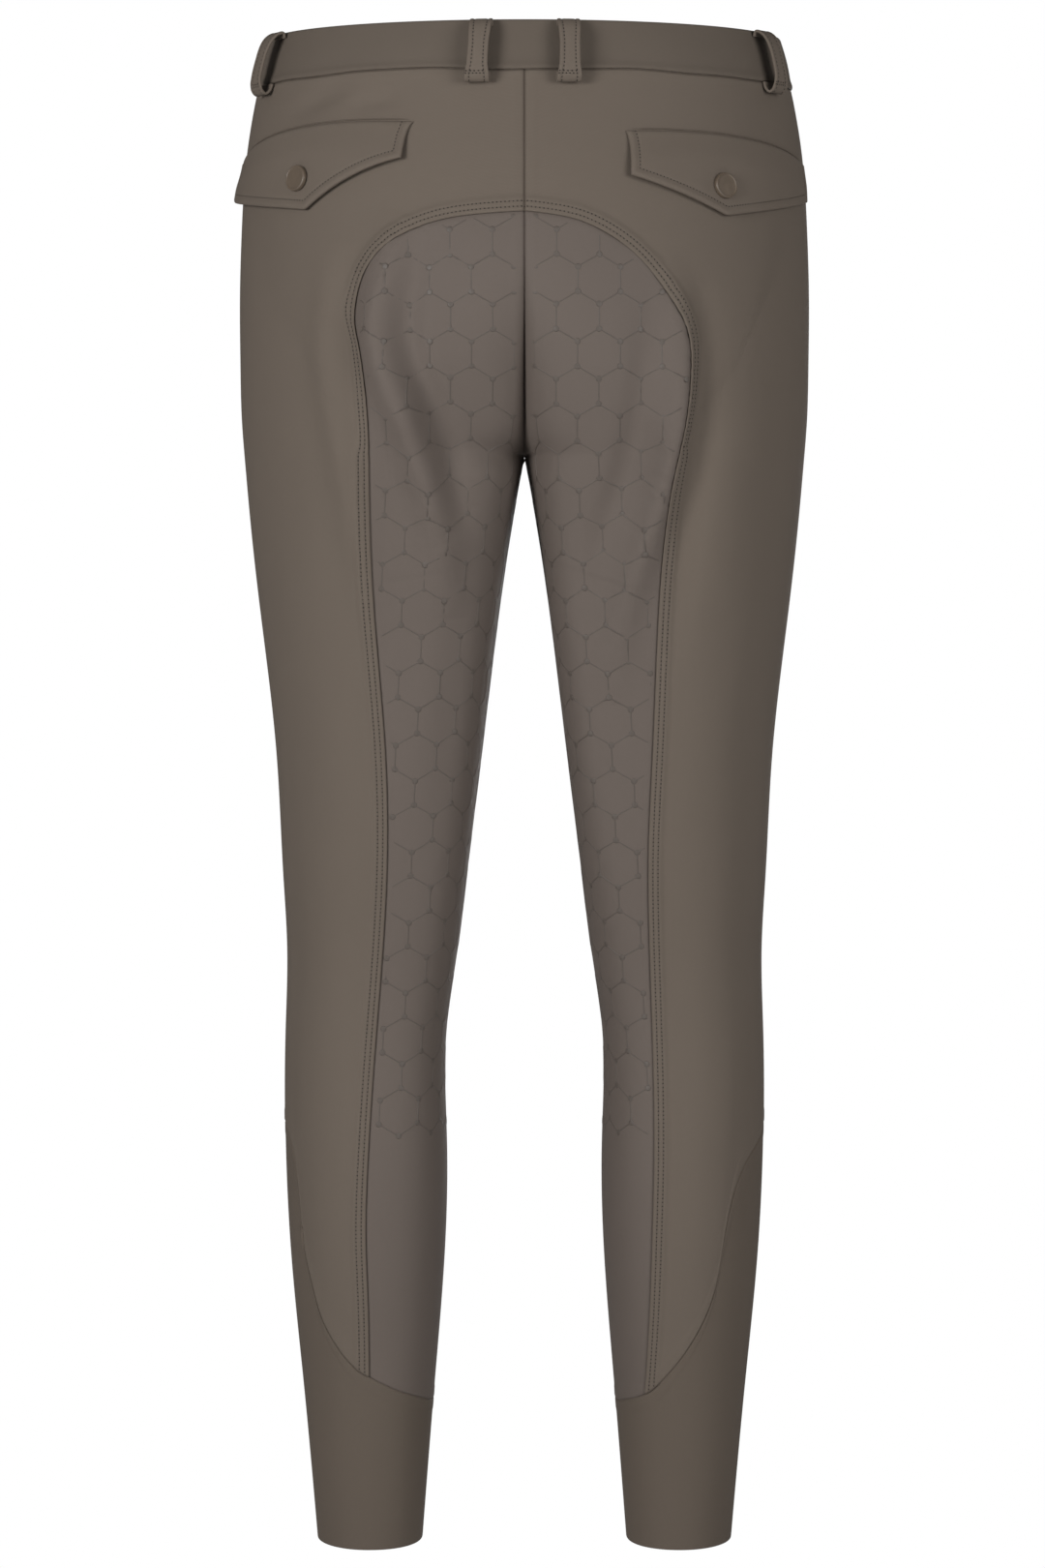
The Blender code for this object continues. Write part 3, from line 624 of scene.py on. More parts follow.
def sew_panel(name, side, cut, relief, paint):
    """A cloth panel: its cut on the garment's surface, moved out by its relief."""
    points = surface(side, cut.phi, cut.z, relief)
    places = np.stack([np.cumsum(np.pad(np.linalg.norm(np.diff(points, axis=1), axis=-1),
                                        ((0, 0), (1, 0))), axis=1), cut.z * MM], axis=-1)
    piece = cloth_object(name, points, places)
    face_out(piece, normals_at(side, cut.phi, cut.z))
    thicken(piece, WALL)
    finish_piece(piece, paint, name)


KNIT_SLANT = 0.4        # how far a loop's sides lean, in courses
KNIT_ROUND = 0.35
KNIT_PAINTED_SHADE = 0.10
CLOUDS = (14, 2)        # the dye's unevenness: scale and detail, wide and then fine
FIBRES = (420, 3)
FIBRE_SHARE = 0.8
CLOTH_SPECULAR = 0.3


def knit_group():
    """Jersey: rows of small V-shaped loops, with painted shade between them, and the slight
    unevenness of its dye.
    """
    group = bpy.data.node_groups.new("jersey knit", "ShaderNodeTree")
    sockets = group.interface.new_socket
    sockets("Place", in_out="INPUT", socket_type="NodeSocketVector")
    for name, value in (("Wales", 1400), ("Courses", 1900), ("Unevenness", 0.06)):
        sockets(name, in_out="INPUT", socket_type="NodeSocketFloat").default_value = value
    sockets("Height", in_out="OUTPUT", socket_type="NodeSocketFloat")
    sockets("Shade", in_out="OUTPUT", socket_type="NodeSocketFloat")
    nodes, links = group.nodes, group.links
    given = nodes.new("NodeGroupInput").outputs
    result = nodes.new("NodeGroupOutput").inputs

    def math(operation, *values):
        node = nodes.new("ShaderNodeMath")
        node.operation = operation
        for socket, value in zip(node.inputs, values):
            if isinstance(value, (int, float)):
                socket.default_value = value
            else:
                links.new(value, socket)
        return node.outputs[0]

    place = nodes.new("ShaderNodeSeparateXYZ")
    links.new(given["Place"], place.inputs[0])
    wale = math("MULTIPLY", place.outputs[0], given["Wales"])
    course = math("MULTIPLY", place.outputs[1], given["Courses"])
    rib = math("ABSOLUTE", math("SINE", math("MULTIPLY", wale, np.pi)))
    slant = math("MULTIPLY_ADD", rib, KNIT_SLANT, course)
    loops = math("SINE", math("MULTIPLY", slant, 2 * np.pi))
    height = math("MULTIPLY", rib, math("MULTIPLY_ADD", loops, KNIT_ROUND, 1 - KNIT_ROUND))

    def mottle(scale, detail):
        noise = nodes.new("ShaderNodeTexNoise")
        noise.inputs["Scale"].default_value = scale
        noise.inputs["Detail"].default_value = detail
        links.new(given["Place"], noise.inputs["Vector"])
        return math("SUBTRACT", noise.outputs["Fac"], 0.5)

    fibres = math("MULTIPLY", mottle(*FIBRES), FIBRE_SHARE)
    uneven = math("MULTIPLY", math("ADD", mottle(*CLOUDS), fibres), given["Unevenness"])
    # painted shade: the colour is darker where the loops lie low, standing in for the shade between
    # them
    shade = math("MULTIPLY_ADD", height, KNIT_PAINTED_SHADE, 1 - KNIT_PAINTED_SHADE / 2)
    shade = math("ADD", shade, uneven)
    links.new(height, result["Height"])
    links.new(shade, result["Shade"])
    return group


def multiply(tree, shade, colour):
    """The colour, lighter and darker by the shade."""
    mix = tree.nodes.new("ShaderNodeMix")
    mix.data_type = "RGBA"
    mix.blend_type = "MULTIPLY"
    mix.inputs["Factor"].default_value = 1
    mix.inputs[6].default_value = (*colour, 1)
    tree.links.new(shade, mix.inputs[7])
    return mix.outputs[2]


def bump(tree, height, depth):
    node = tree.nodes.new("ShaderNodeBump")
    node.inputs["Distance"].default_value = depth * MM
    node.inputs["Strength"].default_value = 1
    tree.links.new(height, node.inputs["Height"])
    return node.outputs["Normal"]


jersey_knit = knit_group()


def new_paint(name, roughness):
    made = bpy.data.materials.new(name)
    made.use_nodes = True
    shader = made.node_tree.nodes["Principled BSDF"]
    shader.inputs["Roughness"].default_value = roughness
    return made, made.node_tree, shader


def cloth_paint(name, colour, wales, courses, depth, roughness=0.82):
    """Jersey of so many wales and courses a metre, its loops so deep."""
    made, tree, shader = new_paint(name, roughness)
    place = tree.nodes.new("ShaderNodeUVMap")
    knit = tree.nodes.new("ShaderNodeGroup")
    knit.node_tree = jersey_knit
    knit.inputs["Wales"].default_value = wales
    knit.inputs["Courses"].default_value = courses
    tree.links.new(place.outputs["UV"], knit.inputs["Place"])
    tree.links.new(multiply(tree, knit.outputs["Shade"], colour), shader.inputs["Base Color"])
    tree.links.new(bump(tree, knit.outputs["Height"], depth), shader.inputs["Normal"])
    shader.inputs["Specular IOR Level"].default_value = CLOTH_SPECULAR
    return made


def grained_paint(name, colour, roughness, scale, depth, uneven=0.12):
    """Thread, resin or plastic: one colour with a fine grain of its own."""
    made, tree, shader = new_paint(name, roughness)
    place = tree.nodes.new("ShaderNodeTexCoord")
    grain = tree.nodes.new("ShaderNodeTexNoise")
    grain.inputs["Scale"].default_value = scale
    grain.inputs["Detail"].default_value = 3
    tree.links.new(place.outputs["Object"], grain.inputs["Vector"])
    shade = tree.nodes.new("ShaderNodeMapRange")
    shade.inputs["To Min"].default_value = 1 - uneven
    shade.inputs["To Max"].default_value = 1 + uneven
    tree.links.new(grain.outputs["Fac"], shade.inputs["Value"])
    tree.links.new(multiply(tree, shade.outputs[0], colour), shader.inputs["Base Color"])
    tree.links.new(bump(tree, grain.outputs["Fac"], depth), shader.inputs["Normal"])
    return made


outer_cloth = cloth_paint("outer cloth", (0.136, 0.110, 0.088), 1500, 2000, 0.05)
seat_cloth = cloth_paint("seat cloth", (0.129, 0.105, 0.090), 1700, 2200, 0.04, roughness=0.75)
cuff_cloth = cloth_paint("cuff cloth", (0.117, 0.093, 0.073), 1900, 2500, 0.04)

Edges = namedtuple("Edges", "arch leg_seam crotch inner seat_foot back_foot front_foot "
                            "side waist_back waist_front centre_back centre_front")


def seam_edges(side):
    """All seam lines of one half, cut to length where they cross."""
    whole_turn = np.array([2 * np.pi, 0])
    cuff = cuff_line(side)
    at_side = int(np.argmin(abs(cuff[:, 0])))
    seam = seat_seam(side)
    i, share, j, cuff_share = crossing(seam, cuff)
    outer_foot = cut_at(cuff, j, cuff_share)
    seam = np.vstack([seam[:i + 1], cut_at(seam, i, share)])
    shoulder = int(np.argmax(plain_point(seam[:, 0], seam[:, 1])[:, 0] + seam[:, 1]))
    inner = inseam()
    i, share, k, cuff_share = crossing(inner, cuff)
    inner_foot = cut_at(cuff, k, cuff_share)
    inner = np.vstack([inner[:i + 1], inner_foot])
    behind = int(np.searchsorted(cuff[:, 0], inner_foot[0] - 2 * np.pi))
    waist_centre = centre_angle(WAIST_TOP)
    return Edges(
        arch=seam[:shoulder + 1],
        leg_seam=seam[shoulder:],
        crotch=centre_line(seam[0, 1], CROTCH, "back"),
        inner=inner,
        seat_foot=np.vstack([inner_foot - whole_turn, cuff[behind:j + 1], outer_foot]),
        back_foot=np.vstack([outer_foot, cuff[j + 1:at_side + 1]]),
        front_foot=np.vstack([cuff[at_side:k + 1], inner_foot]),
        side=side_line(cuff[at_side, 1]),
        waist_back=level_line(-waist_centre, 0, WAIST_TOP),
        waist_front=level_line(0, waist_centre, WAIST_TOP),
        centre_back=centre_line(WAIST_TOP, seam[0, 1], "back")[::-1],
        centre_front=centre_line(WAIST_TOP, CROTCH, "front"),
    )


edges = {side: seam_edges(side) for side in SIDES}
BACK_COLUMNS = 90
BACK_ROWS = 280
ROWS_ON_ARCH = 60
ROWS_ON_WAIST = 70
back_cut = {}
for side, seams in edges.items():
    patch = coons_patch(
        evenly(seams.centre_back, BACK_COLUMNS),
        evenly(seams.back_foot, BACK_COLUMNS),
        join(evenly(seams.arch, ROWS_ON_ARCH), evenly(seams.leg_seam, BACK_ROWS - ROWS_ON_ARCH)),
        join(evenly(seams.waist_back, ROWS_ON_WAIST),
             evenly(seams.side, BACK_ROWS - ROWS_ON_WAIST)))
    cut = fine_cut(patch, PLAIN, PLAIN, LAPPED, WAISTED)
    relief = (lapped(cut.first) + band_seam(side, cut) + pressed(cut.top) + pressed(cut.bottom)
              + pressed(cut.last))
    sew_panel("back_" + side, side, cut, relief, outer_cloth)
    back_cut[side] = cut


# ------------------------------------------------------- stitches of the seat
# Two rows of polyester thread, the cloth's own colour, that hold each turned
# edge down.  Every stitch is a short hump between two small needle holes,
# painted near black as painted shadow for the shade inside them.
THREAD = 0.5            # width of the thread as it lies
STITCH_SIDES = 6
STITCH_RINGS = 5
HOLE_SIDES = 6
HOLE_DEPTH = 0.16
HOLE_TAPER = 0.5
Stitch = namedtuple("Stitch", "pitch length height lift hole hole_lift")
# from stitch to stitch, its own length and height, how far it lies off the cloth,
# and the needle hole's radius and how far it lies off the furrow
SEAT_STITCH = Stitch(2.5, 1.8, 0.5, 0.1, 0.65, 0.05)
thread_paint = grained_paint("thread", (0.125, 0.100, 0.080), 0.6, 2600, 0.05)
# painted shadow: the needle holes are near black for the shade inside them, not for any colour of
# thread or cloth
hole_shadow_paint = grained_paint("needle hole", (0.022, 0.016, 0.012), 0.9, 2000, 0.02)


def shape_of(piece):
    """The points and faces of a small model, which is itself removed."""
    mesh = piece.data
    points = np.array([vertex.co[:] for vertex in mesh.vertices])
    faces = [tuple(face.vertices) for face in mesh.polygons]
    bpy.data.objects.remove(piece)
    return points, faces


def stitch_shape(length, width, height):
    bpy.ops.mesh.primitive_uv_sphere_add(segments=STITCH_SIDES, ring_count=STITCH_RINGS,
                                         radius=0.5, rotation=(0, np.pi / 2, 0))
    bpy.ops.object.transform_apply(rotation=True)
    bpy.context.object.dimensions = (length * MM, width * MM, height * MM)
    bpy.ops.object.transform_apply(scale=True)
    return shape_of(bpy.context.object)


def hole_shape(radius):
    bpy.ops.mesh.primitive_cone_add(vertices=HOLE_SIDES, radius1=radius * MM,
                                    radius2=radius * HOLE_TAPER * MM, depth=HOLE_DEPTH * MM)
    return shape_of(bpy.context.object)


def along_line(points, normals, pitch, start):
    """Even places along a line: middle, direction and outward direction of each."""
    reach = np.concatenate([[0], np.cumsum(np.linalg.norm(np.diff(points, axis=0), axis=1))])
    count = max(1, int(round(reach[-1] / (pitch * MM))))
    at = (np.arange(count) + start) * reach[-1] / count

    def read(values, where):
        return np.column_stack([np.interp(where, reach, values[:, k]) for k in range(3)])

    near = 0.2 * MM
    ahead = read(points, at + near) - read(points, at - near)
    return read(points, at), ahead, read(normals, at)


def loose_piece(name, points, faces, paint):
    """A mesh of small parts that lie on the cloth."""
    mesh = bpy.data.meshes.new(name)
    mesh.from_pydata(points.tolist(), [], faces)
    mesh.shade_smooth()
    mesh.materials.append(paint)
    piece = bpy.data.objects.new(name, mesh)
    bpy.context.scene.collection.objects.link(piece)
    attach(piece, "root")


def set_out(name, shape, places, paint, lift=0.0):
    """One mesh of a small shape repeated; its X runs along and its Z outwards."""
    shape_points, shape_faces = shape
    middles, ahead, outside = (np.concatenate(part) for part in zip(*places))
    ahead /= np.linalg.norm(ahead, axis=1, keepdims=True)
    outside = outside - ahead * np.sum(outside * ahead, axis=1, keepdims=True)
    outside /= np.linalg.norm(outside, axis=1, keepdims=True)
    across = np.cross(outside, ahead)
    middles = middles + outside * lift * MM
    points = (middles[:, None] + shape_points[None, :, :1] * ahead[:, None]
              + shape_points[None, :, 1:2] * across[:, None]
              + shape_points[None, :, 2:] * outside[:, None])
    faces = [tuple(i + k * len(shape_points) for i in face)
             for k in range(len(middles)) for face in shape_faces]
    loose_piece(name, points.reshape(-1, 3), faces, paint)


def sew_rows(thread, holes, rows, stitch):
    """A row of stitches along each line of points and normals, and its needle holes."""
    set_out(thread, stitch_shape(stitch.length, THREAD, stitch.height),
            [along_line(*row, stitch.pitch, 0.5) for row in rows],
            thread_paint, stitch.lift)
    set_out(holes, hole_shape(stitch.hole), [along_line(*row, stitch.pitch, 0) for row in rows],
            hole_shadow_paint, stitch.hole_lift)


for side, cut in back_cut.items():
    rows = []
    for distance in STITCH_ROWS:
        nearest = np.argmin(abs(cut.first[len(cut.first) // 2] - distance))
        phi, z = cut.phi[:, nearest], cut.z[:, nearest]
        relief = (LAP_RISE - FURROW_DEPTH + pressed(cut.top[:, nearest])
                  + pressed(cut.bottom[:, nearest]))
        rows.append((surface(side, phi, z, relief), normals_at(side, phi, z)))
    sew_rows("seat_stitches_" + side, "needle_holes_" + side, rows, SEAT_STITCH)


# ---------------------------------------------------------------- seat panels
# The full seat, two panels of smooth jersey that meet at the centre back and run
# down the inner legs.  Their edges are tucked in under the back panels' turned ones.
LAP = 2.5
SEAT_COLUMNS = 90
ROWS_ON_CROTCH = 70
SEAT_ROWS = 260
SEAM_CLEAR = 15.0       # the seam's crease stops short of the crotch, where four seams meet
SEAM_FADE = 60.0
for side, seams in edges.items():
    arch = let_out(join(seams.arch, seams.leg_seam), LAP)
    shoulder = len(seams.arch) - 1
    arch[0] = [-centre_angle(arch[0, 1]), arch[0, 1]]
    arch, leg_seam = arch[:shoulder + 1], arch[shoulder:]
    crotch = centre_line(arch[0, 1], CROTCH, "back")
    foot = np.vstack([seams.seat_foot, leg_seam[-1]])
    patch = coons_patch(
        evenly(arch, SEAT_COLUMNS), evenly(foot, SEAT_COLUMNS),
        join(evenly(crotch, ROWS_ON_CROTCH),
             evenly(seams.inner - [2 * np.pi, 0], SEAT_ROWS - ROWS_ON_CROTCH)),
        evenly(leg_seam, SEAT_ROWS))
    cut = fine_cut(patch, TUCKED, PLAIN, PLAIN, TUCKED)
    closed = smooth_step((abs(cut.z - CROTCH) - SEAM_CLEAR) / SEAM_FADE)
    relief = (tucked(np.minimum(cut.top, cut.last)) + pressed(cut.bottom)
              + pressed(cut.first) * closed)
    sew_panel("seat_" + side, side, cut, relief, seat_cloth)


# ------------------------------------------------------------------ grip print
# A raised print of soft resin on the seat panels, from the arch to below the
# knee: a plain honeycomb of fine lines with a round dot at every corner.
CELL_SIDE = 15.0
CELL_TOP = -98.0
CELL_ROWS = 27
CELL_COLUMNS = 7        # to each side of the line behind the leg
PRINT_FOOT = -676.0
PRINT_MARGIN = 3.0
PRINT_SPLIT = -256.0    # above this height the print ends at the centre seam, below at the inseam
INSEAM_MARGIN = 0.12    # radians
LINE_PROFILE = np.array([(-0.4, -0.1), (-0.24, 0.16), (0, 0.22), (0.24, 0.16), (0.4, -0.1)])
LINE_PARTS = 8
DOT_WIDTH = 3.8
DOT_HEIGHT = 0.4
DOT_SIDES = 12
DOT_RINGS = 6
SMALL_TURN = 0.01       # radians, to find the way round the body
LEG_LINE = 58.0         # the line behind the leg, from the centre, leans out below the crotch
LEG_LINE_LEAN = 0.05
CHART_BEFORE = 65       # steps of the chart before that line and after it
CHART_AFTER = 35
CHART_STEP = 0.04       # radians
grip_paint = grained_paint("grip print", (0.092, 0.075, 0.063), 0.55, 900, 0.03)


def chart(a, z):
    """The angle at distance a round the cloth from the line behind the leg."""
    heights, row = np.unique(np.round(z, 2), return_inverse=True)
    line = angle_at(LEG_LINE + LEG_LINE_LEAN * np.maximum(CROTCH - heights, 0), heights, "back")
    phi = line[:, None] + np.arange(-CHART_BEFORE, CHART_AFTER + 1) * CHART_STEP
    points = plain_point(phi, heights[:, None])
    steps = np.linalg.norm(np.diff(points, axis=1), axis=-1)
    reach = np.pad(np.cumsum(steps, axis=1), ((0, 0), (1, 0)))
    reach -= reach[:, CHART_BEFORE, None]
    angle = np.empty(a.size)
    row = row.ravel()
    order = np.argsort(row)
    for places in np.split(order, np.nonzero(np.diff(row[order]))[0] + 1):
        here = row[places[0]]
        angle[places] = np.interp(a.ravel()[places], reach[here], phi[here])
    return angle.reshape(a.shape)


def on_seat(side, phi, z):
    """Whether points lie on the printed part of the seat panel."""
    edge = seat_seam(side)
    points = plain_point(phi, z)
    seam = plain_point(edge[:, 0], edge[:, 1])[::4]
    away = np.full(phi.shape, np.inf)
    for point in seam:
        away = np.minimum(away, np.linalg.norm(points - point, axis=-1))
    inside = phi < np.interp(z, edge[::-1, 1], edge[::-1, 0])
    above = (z > PRINT_SPLIT) & (points[..., 0] > PRINT_MARGIN) & (phi > -centre_angle(z))
    turned_in = inseam_angle(np.minimum(z, CROTCH)) - 2 * np.pi + INSEAM_MARGIN
    below = (z <= PRINT_SPLIT) & (phi > turned_in)
    return inside & (away > PRINT_MARGIN) & (z > PRINT_FOOT) & (above | below)


def honeycomb():
    """Corners of the honeycomb, and its lines as pairs of corners."""
    high, wide = 1.5 * CELL_SIDE, np.sqrt(3) * CELL_SIDE
    corners, lines = [], []
    for row in range(-1, CELL_ROWS):
        for step in range(-CELL_COLUMNS, CELL_COLUMNS + 1):
            x = (step + 0.5 * (row % 2)) * wide
            z = CELL_TOP - row * high
            top, low = (x, z + CELL_SIDE / 2), (x, z - CELL_SIDE / 2)
            corners += [top, low]
            lines += [(top, low), (low, (x - wide / 2, z - CELL_SIDE)),
                      (low, (x + wide / 2, z - CELL_SIDE))]
    return np.array(corners), np.array(lines)


def print_lines(side, phi, z):
    """Low ridges on the cloth: arrays of lines, steps along them, points across."""
    points = surface(side, phi, z, np.broadcast_to(LINE_PROFILE[:, 1], z.shape))
    shown = on_seat(side, phi, z).all(axis=-1)
    parts, across = z.shape[1:]
    faces = []
    for line, step in zip(*np.nonzero(shown[:, :-1] & shown[:, 1:])):
        start = (line * parts + step) * across
        for k in range(start, start + across - 1):
            face = (k, k + 1, k + across + 1, k + across)
            faces.append(face if side == "right" else face[::-1])
    used, faces = np.unique(np.array(faces), return_inverse=True)
    loose_piece("grip_lines_" + side, points.reshape(-1, 3)[used], faces.reshape(-1, 4).tolist(),
                grip_paint)


corners, lines = honeycomb()
share = np.linspace(0, 1, LINE_PARTS + 1)[None, :, None, None]
line_places = lines[:, None, :1] * (1 - share) + lines[:, None, 1:] * share
across = (lines[:, 1] - lines[:, 0])[:, ::-1] * [-1, 1] / CELL_SIDE
line_places = line_places + across[:, None, None] * LINE_PROFILE[:, :1]
line_angle = chart(line_places[..., 0], line_places[..., 1])
dot_angle = chart(corners[:, 0], corners[:, 1])
for side in SIDES:
    print_lines(side, line_angle, line_places[..., 1])
    shown = on_seat(side, dot_angle, corners[:, 1])
    phi, z = dot_angle[shown], corners[shown, 1]
    middles = surface(side, phi, z)
    ahead = surface(side, phi + SMALL_TURN, z) - middles
    bpy.ops.mesh.primitive_uv_sphere_add(segments=DOT_SIDES, ring_count=DOT_RINGS, radius=0.5)
    bpy.context.object.dimensions = (DOT_WIDTH * MM, DOT_WIDTH * MM, DOT_HEIGHT * MM)
    bpy.ops.object.transform_apply(scale=True)
    set_out("grip_dots_" + side, shape_of(bpy.context.object),
            [(middles, ahead, normals_at(side, phi, z))], grip_paint)


# --------------------------------------------------------------- front panels
# One piece of stretch jersey for the front of each leg, from the waistband to the
# cuff.  The left one laps over the right one at the fly, held by a J of stitches.
FRONT_COLUMNS = 110
FRONT_ROWS = 260
ROWS_ON_CENTRE = 90
FLY_WIDTH = 38.0
FLY_FOOT = -186.0
FLY_RISE = 0.9
FLY_FOOT_FALL = 12.0
FLY_SIDE_FALL = 6.0
FLY_ROWS = (0, 6.4)         # the twin rows' distances inside the fly's width
FLY_STITCH = SEAT_STITCH._replace(hole=0.5)
FLY_STITCH_SINK = 0.05
FLY_BELOW_BAND = 6.0
STRAIGHT_STEPS = 60
TURN_STEPS = 25
for side, seams in edges.items():
    patch = coons_patch(
        evenly(seams.waist_front, FRONT_COLUMNS), evenly(seams.front_foot, FRONT_COLUMNS),
        evenly(seams.side, FRONT_ROWS),
        join(evenly(seams.centre_front, ROWS_ON_CENTRE),
             evenly(seams.inner, FRONT_ROWS - ROWS_ON_CENTRE)))
    cut = fine_cut(patch, WAISTED, PLAIN, PLAIN, PLAIN)
    relief = band_seam(side, cut) + pressed(cut.first) + pressed(cut.last) + pressed(cut.bottom)
    if side == "left":
        over = FLY_RISE * smooth_step((cut.z - FLY_FOOT) / FLY_FOOT_FALL + 0.5)
        relief = relief + over * (1 - smooth_step((cut.last - FLY_WIDTH) / FLY_SIDE_FALL))
    sew_panel("front_" + side, side, cut, relief, outer_cloth)

for inset in FLY_ROWS:
    radius = FLY_WIDTH - inset
    straight = np.linspace(WAIST_TOP - FLY_BELOW_BAND, FLY_FOOT + FLY_WIDTH, STRAIGHT_STEPS)
    turn_in = np.linspace(0, np.pi / 2, TURN_STEPS)
    x = np.concatenate([np.full(STRAIGHT_STEPS, radius), radius * np.cos(turn_in)])
    z = np.concatenate([straight, FLY_FOOT + FLY_WIDTH - radius * np.sin(turn_in)])
    phi = angle_at(np.maximum(x, CENTRE_HOLD), z, "front")
    line = surface("left", phi, z, FLY_RISE - FLY_STITCH_SINK)
    sew_rows("fly_stitches_%d" % inset, "fly_holes_%d" % inset,
             [(line, normals_at("left", phi, z))], FLY_STITCH)


# ----------------------------------------------------------------------- cuffs
# The lower legs, tubes of thin elastic jersey.  Their shaped upper edge is sewn
# flat to the panels above, and the hem is folded in.
CUFF_COLUMNS = 140
CUFF_ROWS = 60
HEM_EDGE = [0, 0.15, 0.45, 1, 2, 4, 7]
HEM_FLATNESS = 0.75     # its edge is folded flatter than a quarter circle
for side, seams in edges.items():
    top = evenly(join(seams.seat_foot, seams.back_foot, seams.front_foot), CUFF_COLUMNS)
    hem = level_line(top[0, 0], top[-1, 0], HEM, CUFF_COLUMNS)
    drop = np.linspace(0, 1, CUFF_ROWS + 1)[:, None, None]
    cut = fine_cut((1 - drop) * top[None] + drop * hem[None], PLAIN, HEM_EDGE, PLAIN, PLAIN)
    relief = (pressed(cut.top) + pressed(cut.first) + pressed(cut.last)
              + HEM_FLATNESS * rounded(cut.bottom, EDGE_RADIUS))
    sew_panel("cuff_" + side, side, cut, relief, cuff_cloth)


# ------------------------------------------------------------------- waistband
# One doubled strip of jersey, once round the waist, its left end buttoned over
# its right one in front.  Its lower edge is sewn on, its upper edge is a fold.
BAND_TOP = 15.9
BAND_THICK = 3.0
BAND_PROUD = 0.6        # how far the band stands out from the panels
BAND_OVER_END = 28.0    # the left end reaches this far past the centre front
BAND_UNDER_END = 12.0   # and the right end this far the other way, beneath it
BAND_STEP_RUN = 26.0    # length over which the left end rises over the right one
BAND_GAP = 0.3          # between its two ends
BAND_STEPS = 420
BAND_TOP_RADIUS = 1.4
BAND_END_RADIUS = 0.9
BAND_FOOT_RADIUS = 0.8
BAND_LINING_RADIUS = 0.9
BAND_RIDGE = 0.8        # the allowance inside makes a low ridge above the lower edge
BAND_RIDGE_AT = 2.2
BAND_RIDGE_WIDTH = 2.6
BAND_BELLY = 0.5
BAND_SOFT_WAVES = [Wave(0.35, 6, 1.0), Wave(0.25, 13, 2.3)]
BAND_END = [0, 0.15, 0.45, 1, 2, 4]
BAND_FROM_TOP = [0, 0.15, 0.4, 0.8, 1.3, 2, 3.2, 5, 7.5, 10, 13, 16, 19, 21.5]
BAND_FROM_FOOT = [0, 0.3, 0.7, 1.2, 1.8, 2.6, 3.6, 4.8, 6.5, 8.5]


def band_point(theta, z, off):
    """The waistband's outer face; theta runs all round, 0 at the right side."""
    outer = column("outer", z)
    side = column("side", z)
    depth = np.where(np.sin(theta) < 0, side - column("back", z), column("front", z) - side)
    way = np.stack([np.cos(theta) / outer, np.sin(theta) / depth], axis=-1)
    way /= np.linalg.norm(way, axis=-1, keepdims=True)
    off = np.asarray(off) + BAND_PROUD
    x = outer * np.cos(theta) + way[..., 0] * off
    y = side + depth * np.sin(theta) + way[..., 1] * off
    return np.stack([x, y, np.broadcast_to(z, x.shape)], axis=-1) * MM


def lay_out(points):
    """The places of a sheet's points along its rows and columns, in metres."""
    def reach(axis):
        steps = np.linalg.norm(np.diff(points, axis=axis), axis=-1)
        pad = ((1, 0), (0, 0)) if axis == 0 else ((0, 0), (1, 0))
        return np.cumsum(np.pad(steps, pad), axis=axis)
    return np.stack([reach(1), -reach(0)], axis=-1)


half_width = column("outer", 0.0)
under_end = np.pi / 2 + BAND_UNDER_END / half_width
over_end = np.pi / 2 - BAND_OVER_END / half_width - 2 * np.pi
end_turn = np.array(BAND_END) / half_width
theta = np.concatenate([under_end - end_turn[:-1],
                        np.linspace(under_end - end_turn[-1], over_end + end_turn[-1], BAND_STEPS),
                        (over_end + end_turn[:-1])[::-1]])
from_end = np.minimum(under_end - theta, theta - over_end) * half_width
past = (theta - over_end) * half_width - BAND_OVER_END - BAND_UNDER_END
rise = (BAND_THICK + 2 * BAND_GAP) * smooth_step(1 - past / BAND_STEP_RUN)
down = np.concatenate([BAND_FROM_TOP, BAND_TOP - BAND_FOOT - np.array(BAND_FROM_FOOT[::-1])])
theta, down = np.meshgrid(theta, down)
low = BAND_TOP - BAND_FOOT - down
z = BAND_TOP - down + (band_foot(theta) - BAND_FOOT) * (down / down.max()) ** 3
across = np.sin(np.pi * down / down.max())
relief = (rounded(down, BAND_TOP_RADIUS) + rounded(from_end, BAND_END_RADIUS)
          + rounded(low, BAND_FOOT_RADIUS) + BAND_RIDGE * hump(low - BAND_RIDGE_AT, BAND_RIDGE_WIDTH)
          + (BAND_BELLY + waves(BAND_SOFT_WAVES, theta)) * across)
lining = rounded(down, BAND_TOP_RADIUS) + rounded(low, BAND_LINING_RADIUS)
band_outer = band_point(theta, z, rise + relief)
band = cloth_object("waistband", band_outer, lay_out(band_outer))
face_out(band, band_outer * [1, 1, 0])
thicken(band, BAND_THICK, band_point(theta, z, rise - BAND_THICK - lining))
# painted shade: the band is the panels' jersey, painted darker for the shade on its face, which
# leans upwards away from the light
band_cloth_painted_shade = cloth_paint("waistband cloth with painted shade", (0.116, 0.094, 0.075), 1500, 2000, 0.05)
finish_piece(band, band_cloth_painted_shade, "waistband")


